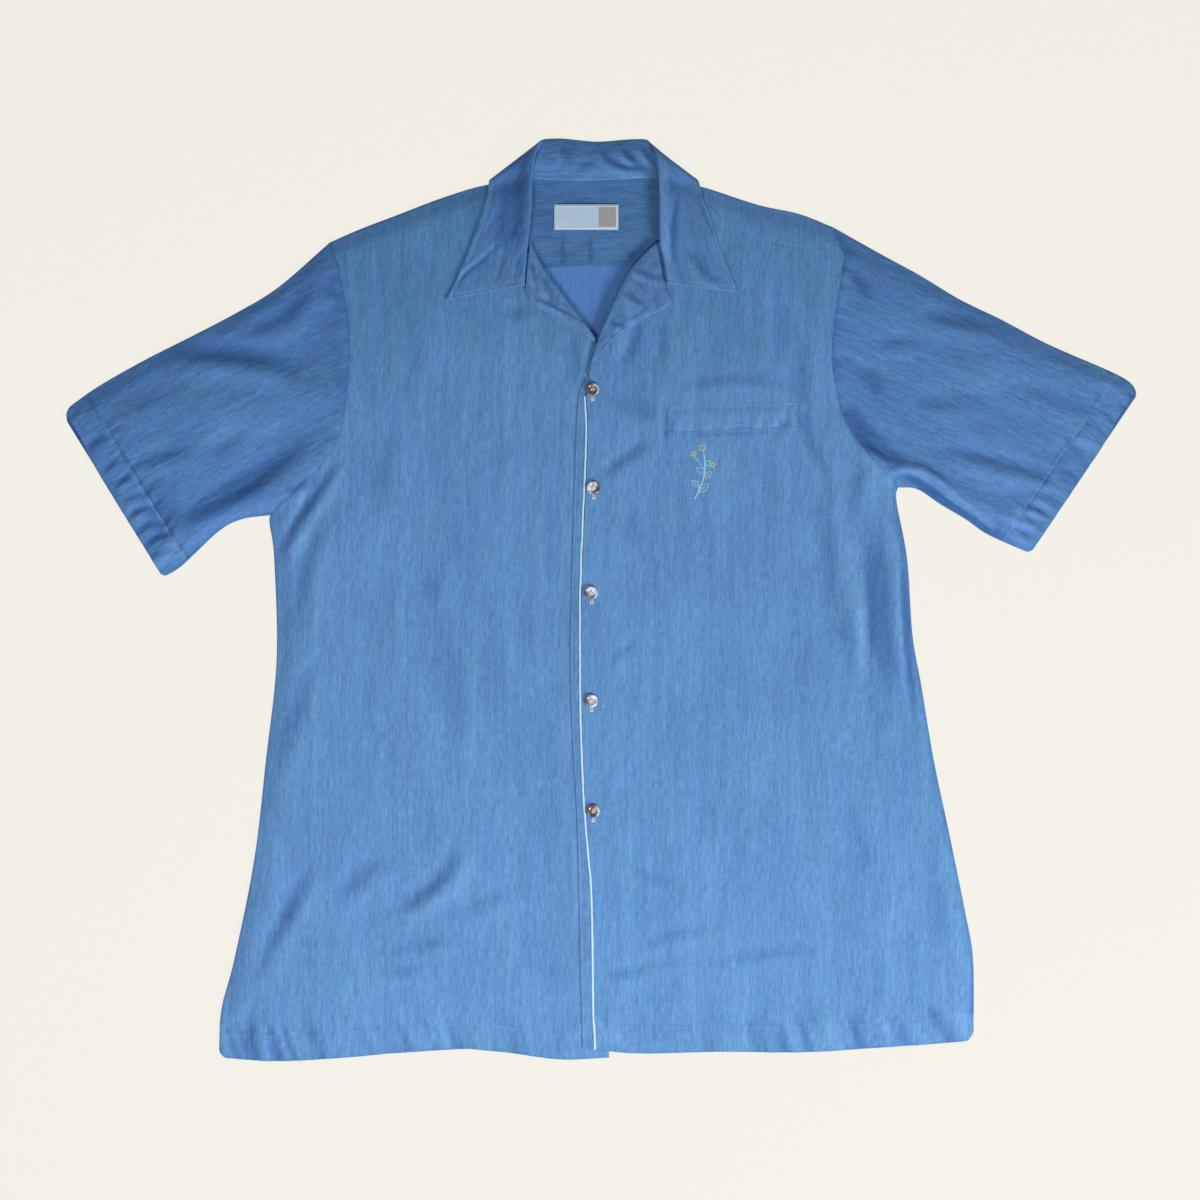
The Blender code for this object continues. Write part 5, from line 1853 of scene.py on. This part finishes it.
@dataclass
class PocketBand:
    """The chest pocket's welt band: stitched below and at its ends, and a little wrinkled."""

    drape: Drape
    stitch_line: float = 1.6
    layer: float = 1.62

    def build(self, finish: bpy.types.Material) -> list[np.ndarray]:
        """Makes the band and measures its cut.

        Args:
            finish: its material.

        Returns:
            The lines of its stitching.
        """
        (left, high), (right, low) = POCKET[0], POCKET[2]
        plan, nearest, above = laid_grid(POCKET, 1.6)
        x, y, below = plan[..., 0], plan[..., 1], above.max() - above
        puckers = 0.42 * noise(x / 6.0, y / 26, 91) + 0.3 * noise(x / 3.4, y / 20, 92)
        puckers *= bell((above - 5) / 9) * smooth_step(nearest / 2)
        relief = relief_of(POCKET_CREASES, x, y)
        solid = self.drape.raised(plan, self.layer)
        solid[..., 2] += relief + puckers * smooth_step(nearest / 3)
        solid[..., 2] -= np.maximum.reduce([0.4 * (1 - smooth_step(nearest / 1.5)), 0.75 * (1 - smooth_step(below / 9)),
                                            0.75 * (1 - smooth_step(np.minimum(x - left, right - x) / 6))])
        # painted shadow along the lower edge and in both ends' slits, painted highlight on crests and the upper edge,
        # and the whole band painted paler
        shade = (1.2 * bell((above - 0.3) / 1.2) + 0.9 * bell(x - left - 1) * bell((y - 149) / 8)
                 + bell((right - 1.0 - x) / 1.2) * bell((y - 158) / 5) - puckers - 0.9 * relief - 0.35)
        shade -= 0.7 * bell((below - 0.6) / 1.1) * (0.9 + 0.6 * noise(x / 3, y / 3, 93))
        Cloth("pocket_band", [solid], [Grain.DOWN], painted_shading=[np.clip(shade, -1, 1)]
              ).lay(finish, Cut.of(plan, Grain.DOWN), "front_left")
        runs = (((left + 1, low + self.stitch_line), (right - 14, low + self.stitch_line + 1.5)),
                ((left + 1, low + 2), (left + 1, high - 2)), ((right - 1, low + 2), (right - 1, high - 3)))
        return [self.drape.raised(through(ends, 40), self.layer, WALL / 2 - 0.1) for ends in runs]


@dataclass
class Label:
    """The woven label inside the yoke, left bare but for its woven border."""

    drape: Drape
    border: float = 0.8
    border_inset: float = 1.2
    lift: float = 1.25
    weave_lift: float = 0.34
    weave_wall: float = 0.16
    end_band: tuple[float, float] = (2.0, 16.5)  # how far from the right end the tan band lies
    band_inset: float = 2.4

    def raised(self, plan: np.ndarray, lift: float | np.ndarray) -> np.ndarray:
        """A plan grid over the label's middle, which is bowed a little and uneven."""
        x, y = plan[..., 0], plan[..., 1]
        bowed = self.lift + 0.35 * bell((x + 11) / 22) + 0.12 * noise(x / 7, y / 7, 95)
        return self.drape.raised(plan, 0, bowed + lift)

    def build(self, ground: bpy.types.Material, edge: bpy.types.Material, tan: bpy.types.Material) -> None:
        """Makes the label's ground and, just above it, its woven border and end.

        Args:
            ground: the ground's finish.
            edge: the border's finish.
            tan: the end band's finish.
        """
        plan, nearest, _ = laid_grid(LABEL, 1.5)
        Cloth("label", [self.raised(plan, -0.3 * bell(nearest / 0.9))], [Grain.ACROSS], wall=0.5
              ).lay(ground, Cut.of(plan, Grain.ACROSS), "yoke", slot="woven_label")
        corners = np.array([*LABEL, LABEL[0]], float)
        inward = np.array([(1, -1), (-1, -1), (-1, 1), (1, 1), (1, -1)], float)
        rings = np.stack([corners + inset * inward
                          for inset in np.linspace(self.border_inset, self.border_inset + self.border, 4)])
        border = np.concatenate([rings[:, k:k + 1] * (1 - t) + rings[:, k + 1:k + 2] * t for k in range(4)
                                 for t in np.linspace(0, 1, 30, endpoint=k == 3)[None, :, None]], axis=1)
        right, top, low = LABEL[1][0], LABEL[0][1] - self.band_inset, LABEL[2][1] + self.band_inset
        end = np.dstack(np.meshgrid(np.linspace(right - self.end_band[1], right - self.end_band[0], 12),
                                    np.linspace(top, low, 24)))
        for name, plan, thread in (("label_border", border, edge), ("label_end", end, tan)):
            woven = Cloth(name, [self.raised(plan, self.weave_lift)], [Grain.ACROSS], wall=self.weave_wall)
            dress(woven.build(thread), "thread")


# ---------------------------------------------------------------------------------------------
# Buttons, stitches and embroidery
# ---------------------------------------------------------------------------------------------

def stitches(line: np.ndarray, pitch: float, length: float, radius: float, slant: float = 0.0) -> np.ndarray:
    """Places of stitches along a line.

    Args:
        line: the line's points, with their heights.
        pitch: from one stitch to the next.
        length: a stitch's length.
        radius: half its thickness.
        slant: angle of each stitch to the line, in radians.

    Returns:
        A row for each stitch: its middle, its half length as a vector, and its radius.
    """
    count = max(2, int(run_down(line)[-1] / pitch))
    places = (np.arange(count) + 0.5) / count
    ahead, behind = (along(line, np.clip(places + off / count, 0, 1)) for off in (0.3, -0.3))
    way = unit(ahead - behind)
    c, s = math.cos(slant), math.sin(slant)
    way = np.column_stack([c * way[:, 0] - s * way[:, 1], s * way[:, 0] + c * way[:, 1], way[:, 2]])
    return np.column_stack([along(line, places), way * length / 2, np.full(count, radius)])


def stitch_mesh(name: str, rows: np.ndarray) -> bpy.types.Mesh:
    """A joined mesh of stitches: each is a spindle of two rings of six, bowed so its ends sink.

    Args:
        name: the mesh's name.
        rows: the stitches, as stitches() gives them.

    Returns:
        The mesh.
    """
    middle, half, radius = rows[:, None, 0:3], rows[:, 3:6], rows[:, 6, None, None]
    way = unit(half)
    across = np.pad(left_of(way), ((0, 0), (0, 1)))
    across /= np.maximum(np.linalg.norm(across, axis=1, keepdims=True), 1e-9)
    rings = [(end, math.cos(turn), math.sin(turn)) for end in (-0.55, 0.55)
             for turn in np.linspace(0, 2 * math.pi, 6, endpoint=False)]
    on_way, on_side, on_top = np.array([(-1, 0, -0.9), *rings, (1, 0, -0.9)]).T[..., None]
    points = (middle + on_way * half[:, None] + on_side * radius * across[:, None]
              + on_top * radius * np.cross(way, across)[:, None])
    near = 1 + np.arange(6)
    after = 1 + near % 6
    faces = np.vstack([np.column_stack(np.broadcast_arrays(*corners)) for corners in
                       ((0, after, near), (near, after, 6 + after), (near, 6 + after, 6 + near),
                        (13, 6 + near, 6 + after))])
    numbers = (faces + 14 * np.arange(len(rows))[:, None, None]).reshape(-1, 3)
    mesh = mesh_of(name, points.reshape(-1, 3), numbers)
    mesh.shade_smooth()
    log.info("%s: %d stitches", name, len(rows))
    return mesh


def stitched(name: str, rows: Sequence[np.ndarray], finish: bpy.types.Material) -> None:
    """Makes one piece of joined stitches in a thread's finish."""
    dress(add_object(name, stitch_mesh(name, np.vstack(rows)), finish), "thread")


@dataclass
class Sewing:
    """The visible machine stitching: hems, collar, lapels and pocket."""

    drape: Drape
    sleeves: dict[Side, Drape]
    hem_stitch: tuple[float, float, float] = (3.0, 2.3, 0.24)  # pitch, length and radius
    edge_stitch: tuple[float, float, float] = (2.5, 1.9, 0.2)

    @staticmethod
    def on_top(drape: Drape, table: Table, inset: float, layer: Callable | None = None) -> np.ndarray:
        """A stitch line on the cloth, beside an edge.

        Args:
            drape: how that cloth lies.
            table: the edge's points.
            inset: how far to the left of its direction the line lies.
            layer: a function of x that gives the cloth's layer, where it isn't 1.

        Returns:
            The line's points with their heights.
        """
        line = shifted(through(table, 160), inset)[3:-3]
        return drape.raised(line, layer(line[:, 0]) if layer else 1.0, WALL / 2 - 0.05)

    def build(self, lines: Sequence[np.ndarray], finish: bpy.types.Material, pale: bpy.types.Material) -> None:
        """Makes the stitching.

        Args:
            lines: the lines on the collar, the lapels and the pocket.
            finish: the thread's finish.
            pale: the finish of the sleeves' paler thread.
        """
        body = (self.on_top(self.drape, RIGHT.hem, 21), self.on_top(self.drape, LEFT.hem, 21, self.drape.over_front))
        sleeves = (self.on_top(self.sleeves[half.side], half.sleeve_hem, 25 * half.side.value)
                   for half in (RIGHT, LEFT))
        stitched("edge_stitches", [stitches(line, *self.edge_stitch) for line in lines], finish)
        stitched("body_hem_stitches", [stitches(line, *self.hem_stitch) for line in body], finish)
        stitched("sleeve_hem_stitches", [stitches(line, *self.hem_stitch) for line in sleeves], pale)


# x, y, the angle of the shell's brown side, how brown it is, and how clear the pale crescent on its rim, a painted
# highlight, is
BUTTONS = ((-6, 178.2, -150, 0.75, 1.6), (-5.3, 94.7, -35, -0.1, 0), (-7, 5.7, -130, -0.15, 0),
           (-7, -85.8, 180, -0.1, 0), (-5.5, -179.3, 180, 0.75, 1.6))
# a button's outline from the dish over the rim to the back, as shares of its radius and height
BUTTON_PROFILE = ((0.25, 0.62), (0.45, 0.64), (0.56, 0.70), (0.63, 0.86), (0.72, 0.98), (0.82, 1.0), (0.92, 0.93),
                  (0.985, 0.72), (1.0, 0.5), (0.97, 0.27), (0.85, 0.08), (0.6, 0.0))


@dataclass
class Buttons:
    """Dished four-hole buttons with their threads, each over the end of its buttonhole."""

    drape: Drape
    radius: float = 5.65
    height: float = 2.2
    dish: float = 0.62  # the dish's share of the height
    clear: float = 0.15
    hole_radius: float = 0.62
    hole_place: float = 1.25
    segments: int = 48

    def drill(self, number: int, finish: bpy.types.Material) -> bpy.types.Object:
        """The cylinder that cuts one of the holes.

        Args:
            number: which hole, from 0 to 3.
            finish: the blank's material.

        Returns:
            The cutter.
        """
        angle, radius = math.pi / 4 + number * math.pi / 2, self.hole_radius * MM
        place = (self.hole_place * math.cos(angle) * MM, self.hole_place * math.sin(angle) * MM, 0.5 * self.height * MM)
        bm = bmesh.new()
        bmesh.ops.create_cone(bm, cap_ends=True, segments=14, radius1=radius, radius2=radius,
                              depth=3 * self.height * MM)
        bmesh.ops.translate(bm, verts=bm.verts, vec=place)
        mesh = bpy.data.meshes.new("drill")
        bm.to_mesh(mesh)
        bm.free()
        return add_object(f"drill_{number}", mesh, finish)

    def blank(self) -> bpy.types.Mesh:
        """A turned blank with its holes cut: a profile carried round, less four cylinders.

        Returns:
            The blank's mesh.
        """
        turn = np.linspace(0, 2 * math.pi, self.segments, endpoint=False)
        r, z = (np.array(BUTTON_PROFILE) * (self.radius, self.height)).T[..., None]
        rings = np.stack(np.broadcast_arrays(r * np.cos(turn), r * np.sin(turn), z), -1)
        finish = bpy.data.materials.new("blank")
        blank = add_object("blank", closed_tube("button blank", rings), finish)
        drills = [self.drill(number, finish) for number in range(4)]
        for drill in drills:
            cut = blank.modifiers.new("Hole", "BOOLEAN")
            cut.object, cut.operation = drill, "DIFFERENCE"
        graph = bpy.context.evaluated_depsgraph_get()
        made = bpy.data.meshes.new_from_object(blank.evaluated_get(graph), depsgraph=graph)
        for stale in (blank, *drills):
            bpy.data.objects.remove(stale)
        made.shade_smooth()
        made.set_sharp_from_angle(angle=math.radians(50))
        return made

    def build(self, shell: bpy.types.Material, thread: bpy.types.Material) -> None:
        """Makes the buttons, their threads and the buttonholes' visible ends.

        Args:
            shell: the buttons' finish.
            thread: the threads' finish.
        """
        blank = self.blank()
        turn = np.linspace(0, 2 * math.pi, 24, endpoint=False)
        threads, holes = [], []
        for number, (x, y, *look) in enumerate(BUTTONS, start=1):
            rim = np.stack([x + self.radius * 0.9 * np.cos(turn), y + self.radius * 0.9 * np.sin(turn)], axis=-1)
            base = float(self.drape.on_front(rim, self.clear)[:, 2].max())
            angle = 0.5 + 1.1 * number
            mesh = blank.copy()
            places = places_of(mesh)
            px, py = places[0::3].copy(), places[1::3].copy()
            places[0::3] = px * math.cos(angle) - py * math.sin(angle) + x * MM
            places[1::3] = px * math.sin(angle) + py * math.cos(angle) + y * MM
            places[2::3] += base * MM
            mesh.vertices.foreach_set("co", places)
            mesh.update()
            add_values(mesh, "brown", self.brown_and_highlight_share(places[0::3] - x * MM, places[1::3] - y * MM, *look))
            dress(add_object(f"button_{number}_shell", mesh, shell), "shell_button", f"button_{number}")
            threads.append(self.crossing(x, y, base, angle))
            holes.append(self.buttonhole(x, y))
        bpy.data.meshes.remove(blank)
        log.info("buttons: %d", len(BUTTONS))
        stitched("button_threads", threads, thread)
        stitched("buttonhole_stitches", holes, thread)

    def brown_and_highlight_share(self, x: np.ndarray, y: np.ndarray, side: float, bias: float, rim: float) -> np.ndarray:
        """How brown a shell is at points round its middle, with painted highlights left out of the brown.

        The brown grows towards one side, and leaves out the middle and a crescent on the rim's right side,
        which show pale as painted highlights.

        Args:
            x: the points' x from the middle, in metres.
            y: the points' y from the middle, in metres.
            side: angle of the brown side, in degrees.
            bias: how much brown is added all over.
            rim: how much brown the crescent of painted highlight lacks.

        Returns:
            The share at each point, from 0 to 1.
        """
        out, turn = np.hypot(x, y) / (self.radius * MM), np.arctan2(y, x)
        # painted highlights: a pale middle and a pale crescent on the rim's right side, left out of the brown
        share = 0.5 + bias + 0.9 * out * np.cos(turn - math.radians(side)) - 1.3 * bell(out / 0.3)
        share -= rim * smooth_step((out - 0.78) / 0.1) * bell((turn - 0.15) / 0.8)
        return np.clip(share, 0, 1)

    def crossing(self, x: float, y: float, base: float, angle: float) -> np.ndarray:
        """The thread through a button's holes: two bars of three strands each, side by side.

        Args:
            x: the button's x.
            y: the button's y.
            base: height of its back.
            angle: how far it is turned, in radians.

        Returns:
            The strands, as rows of stitches.
        """
        c, s, reach = math.cos(angle), math.sin(angle), self.hole_place / math.sqrt(2)
        top, half, thickness = base + self.dish * self.height + 0.1, reach + 0.25, 0.2
        return np.array([(x - s * off, y + c * off, top + 0.05 * (strand == 0), c * half, s * half, 0.0, thickness)
                         for bar in (-1, 1) for strand in (-0.26, 0.0, 0.26) for off in [bar * reach + strand]])

    def buttonhole(self, x: float, y: float) -> np.ndarray:
        """The visible end of an upright buttonhole under the button: two rows of satin stitch and a bar.

        Args:
            x: the button's x.
            y: the button's y.

        Returns:
            The rows of stitches.
        """
        low, high = y - self.radius - 3.2, y - self.radius + 1.5
        rows = [(np.column_stack([np.full(20, x + 0.3 + side * 0.85), np.linspace(low, high, 20)]), 0.08, 1.15, 0.2)
                for side in (-1, 1)]
        rows.append((np.column_stack([np.linspace(x - 1.2, x + 1.8, 12), np.full(12, low)]), 0.12, 1.5, 0.22))
        return np.vstack([stitches(self.drape.on_front(line, lift), 0.42, length, radius, slant=math.pi / 2)
                          for line, lift, length, radius in rows])


# share of the stem, side and length of each leaf and vein
SPRIG_LEAVES = ((0.14, 1, 11.0), (0.24, -1, 9.0), (0.42, 1, 9.0), (0.52, -1, 8.0), (0.68, 1, 6.5))
SPRIG_VEINS = ((0.14, 1, 8.0), (0.42, 1, 6.5), (0.24, -1, 6.5))


@dataclass
class Sprig:
    """A small embroidered sprig below the pocket: a bowed stem with paired leaves and three blossoms."""

    drape: Drape
    foot: tuple[float, float] = (80.5, 85.5)
    height: float = 42.0
    lean: float = 7.0
    bow: float = 4.5
    thickness: float = 0.31

    def stem_at(self, share: np.ndarray | float) -> np.ndarray:
        """The stem: it rises and leans, and bows along a half sine."""
        x = self.foot[0] + self.lean * share + self.bow * np.sin(math.pi * share)
        return np.stack([x, self.foot[1] + self.height * share], axis=-1)

    def leaf(self, share: float, side: int, length: float) -> list[np.ndarray]:
        """A leaf's outline: two arcs from the stem to its tip, bulging by a sine.

        Args:
            share: where on the stem it starts.
            side: 1 on the right of the view, and -1 on the left.
            length: its length.

        Returns:
            Both arcs.
        """
        angle = math.radians(90 - side * 52)
        way = np.array([math.cos(angle), math.sin(angle)])
        across = np.array([-math.sin(angle), math.cos(angle)])
        t = np.linspace(0, 1, 16)[:, None]
        bulge = 0.24 * length * np.sin(math.pi * t) ** 0.8
        return [self.stem_at(share) + length * t * way + sign * bulge * across for sign in (-1, 1)]

    def blossom(self, x: float, y: float, radius: float) -> np.ndarray:
        """A blossom: a closed line whose radius swells five times round it."""
        turn = np.linspace(0, 2 * math.pi, 60)
        r = radius * (0.72 + 0.28 * np.cos(5 * turn))
        return np.stack([x + r * np.cos(turn), y + r * np.sin(turn)], axis=-1)

    def sewn(self, lines: Sequence[np.ndarray], pitch: float = 1.15, length: float = 1.6) -> np.ndarray:
        """Stem stitches along plan lines, on the front's cloth."""
        return np.vstack([stitches(self.drape.on_front(line, 0.1), pitch, length, self.thickness, slant=0.14)
                          for line in lines])

    def build(self, pale: bpy.types.Material, yellow: bpy.types.Material) -> None:
        """Makes the sprig in its two threads.

        Args:
            pale: the pale blue thread's finish.
            yellow: the yellow thread's finish.
        """
        lines = [self.stem_at(np.linspace(0, 1, 40)), self.stem_at(np.linspace(0, 0.9, 40)) + (0.6, 0)]
        lines += [line for leaf in SPRIG_LEAVES for line in self.leaf(*leaf)]
        lines.append(through((self.stem_at(0.6), (83.0, 118.0), (80.5, 121.5)), 12))
        blooms = [self.blossom(*row) for row in ((*(self.stem_at(1.0) + (0, 1.6)), 3.3), (79.6, 123.6, 2.5),
                                                 (95.6, 114.5, 2.3))]
        veins = [sum(self.leaf(*vein)) / 2 for vein in SPRIG_VEINS]
        stitched("sprig_pale", [self.sewn(lines)], pale)
        stitched("sprig_yellow", [self.sewn(blooms, 0.95, 1.3), self.sewn(veins)], yellow)


# ---------------------------------------------------------------------------------------------
# Studio
# ---------------------------------------------------------------------------------------------

@dataclass
class Studio:
    """A pale floor, soft light that is strongest at the hem, and a camera straight above."""

    frame_width: float = 1.020
    camera_height: float = 3.0
    sensor: float = 36.0
    centre: tuple[float, float] = (0.0004, -0.0004)
    floor_half: float = 20.0
    paper: Colour = (0.896, 0.871, 0.799)
    key_power: float = 38.5
    key_place: tuple[float, float, float] = (1.22, -1.22, 1.0)
    key_size: float = 0.7
    sky: float = 0.22

    def build(self) -> None:
        """Makes the floor, the lights, the world and the camera."""
        half = self.floor_half / MM
        points = np.array([(-half, -half, 0), (half, -half, 0), (half, half, 0), (-half, half, 0)], float)
        n = Nodes("pale paper")
        fleck = n.noise(n.add("TexCoord").outputs["Object"], (3.0, 3.0, 3.0), 3.0)
        tone = n.blend(fleck, tuple(0.985 * c for c in self.paper), self.paper)
        n.surface(Base_Color=tuple(0.06 * c for c in self.paper), Roughness=0.95, Specular_IOR_Level=0.0,
                  Emission_Color=tone, Emission_Strength=0.95)
        floor = add_object("floor", mesh_of("floor", points, np.array([[0, 1, 2, 3]])), n.material)

        world = bpy.data.worlds.new("sky")
        world.use_nodes = True
        background = world.node_tree.nodes["Background"]
        background.inputs[0].default_value = (0.93, 0.96, 1.0, 1.0)
        background.inputs[1].default_value = self.sky
        bpy.context.scene.world = world

        self.lamp("key", self.key_place, self.key_size, self.key_power, (1.0, 0.985, 0.96))
        self.lamp("hem light", (-0.4, -0.55, 1.1), 0.4, 6.9, (0.98, 0.99, 1.0))

        camera = bpy.data.cameras.new("camera")
        camera.sensor_width = self.sensor
        camera.lens = self.sensor * self.camera_height / self.frame_width
        seat = bpy.data.objects.new("camera", camera)
        seat.location = (*self.centre, self.camera_height)
        bpy.context.scene.collection.objects.link(seat)
        bpy.context.scene.camera = seat
        bpy.context.scene.view_settings.view_transform = "Standard"

    def lamp(self, name: str, place: tuple[float, float, float], size: float, power: float, colour: Colour) -> None:
        """Adds a square soft light that faces the shirt's middle."""
        light = bpy.data.lights.new(name, "AREA")
        light.size, light.energy, light.color = size, power, colour
        lamp = bpy.data.objects.new(name, light)
        lamp.location = place
        x, y, z = place
        lamp.rotation_euler = (math.atan2(math.hypot(x, y), z), 0.0, math.atan2(y, x) + math.pi / 2)
        bpy.context.scene.collection.objects.link(lamp)


FINISHES: dict[str, Chambray | Plain | Shell] = {
    "body": Chambray("chambray"),
    # the sleeves' copy is darker and more violet: partly the cross grain's own colour, partly painted shade for how the
    # light falls on the sleeves
    "sleeves": Chambray("chambray sleeve", dark=(0.061, 0.153, 0.376), pale=(0.111, 0.273, 0.606)),
    "inside": Chambray("chambray inside", dark=(0.070, 0.175, 0.47), pale=(0.120, 0.295, 0.74), slub=0.5),
    "yoke": Chambray("chambray yoke", slub=0.85),
    "collar": Chambray("chambray collar", dark=(0.060, 0.155, 0.37), pale=(0.112, 0.276, 0.605)),
    "facing": Chambray("chambray facing", dark=(0.056, 0.148, 0.36), pale=(0.098, 0.246, 0.56), slub=0.9),
    "cord": Plain("white piping", (0.56, 0.78, 0.94), (0.42, 0.62, 0.82), 0.75, (0.9, 0.9, 0.9), 0.12, 0.1),
    "blue thread": Plain("blue thread", (0.17, 0.33, 0.56), (0.08, 0.18, 0.36)),
    "faded thread": Plain("faded thread", (0.34, 0.52, 0.74), (0.22, 0.38, 0.60)),
    "white thread": Plain("white thread", (0.80, 0.84, 0.90), (0.55, 0.62, 0.72), 0.5),
    "pale thread": Plain("pale thread", (0.46, 0.80, 0.94), (0.28, 0.60, 0.84), 0.45, sheen=0.2),
    "yellow thread": Plain("yellow thread", (0.74, 0.76, 0.36), (0.50, 0.54, 0.26), 0.45, sheen=0.2),
    "label": Plain("woven label", (0.56, 0.71, 0.86), (0.42, 0.56, 0.71), 0.6, (0.35, 2.4, 1.0), 0.06, 0.1, True),
    "border": Plain("woven border", (0.80, 0.86, 0.92), (0.56, 0.62, 0.70), 0.6, (0.4, 1.2, 1.0), 0.06, 0.1, True),
    "tan": Plain("tan weave", (0.52, 0.47, 0.45), (0.25, 0.24, 0.30), 0.6, (2.6, 1.8, 1.0), 0.06, 0.1, True),
    "shell": Shell("shell"),
}


def main() -> None:
    """Builds the setting, and then the shirt piece by piece."""
    logging.basicConfig(level=logging.INFO, format="%(message)s")
    Studio().build()
    finish = {name: look.build() for name, look in FINISHES.items()}
    drape = Drape()
    sleeves = {
        # the right sleeve is painted darker all over as painted shade
        Side.RIGHT: Drape(grain=Grain.SLEEVE_RIGHT, seed=105, tone=0.1),
        Side.LEFT: Drape(grain=Grain.SLEEVE_LEFT, seed=205),
    }
    back = BackPanel(drape)
    back.build(finish["inside"])
    Yoke(drape, back).build(finish["yoke"])
    FrontPanel(drape, "front_right", RIGHT, UNDER_FRONT_EDGE, 0.0, upper=False).build(finish["body"], "back")
    FrontPanel(drape, "front_left", LEFT, PIPING_LINE, PIPING_SEAM, upper=True
               ).build(finish["body"], "back", "front_right")
    Sleeve(sleeves[Side.RIGHT], "sleeve_right", RIGHT, 11.0).build(finish["sleeves"])
    Sleeve(sleeves[Side.LEFT], "sleeve_left", LEFT, 5.0).build(finish["sleeves"])
    lines = Collar(drape).build(finish["collar"])
    for lapel in (Lapel(drape, "lapel_right", LAPEL_RIGHT, LAPEL_RIGHT_CREASES, upper=False),
                  Lapel(drape, "lapel_left", LAPEL_LEFT, LAPEL_LEFT_CREASES, upper=True)):
        lines.append(lapel.build(finish["facing"]))
    edge = FrontEdge(drape)
    edge.band(finish["body"])
    edge.piping(finish["cord"])
    lines += PocketBand(drape).build(finish["body"])
    Label(drape).build(finish["label"], finish["border"], finish["tan"])
    Sewing(drape, sleeves).build(lines, finish["blue thread"], finish["faded thread"])
    Buttons(drape).build(finish["shell"], finish["white thread"])
    Sprig(drape).build(finish["pale thread"], finish["yellow thread"])

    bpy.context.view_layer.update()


if __name__ == "__main__":
    main()
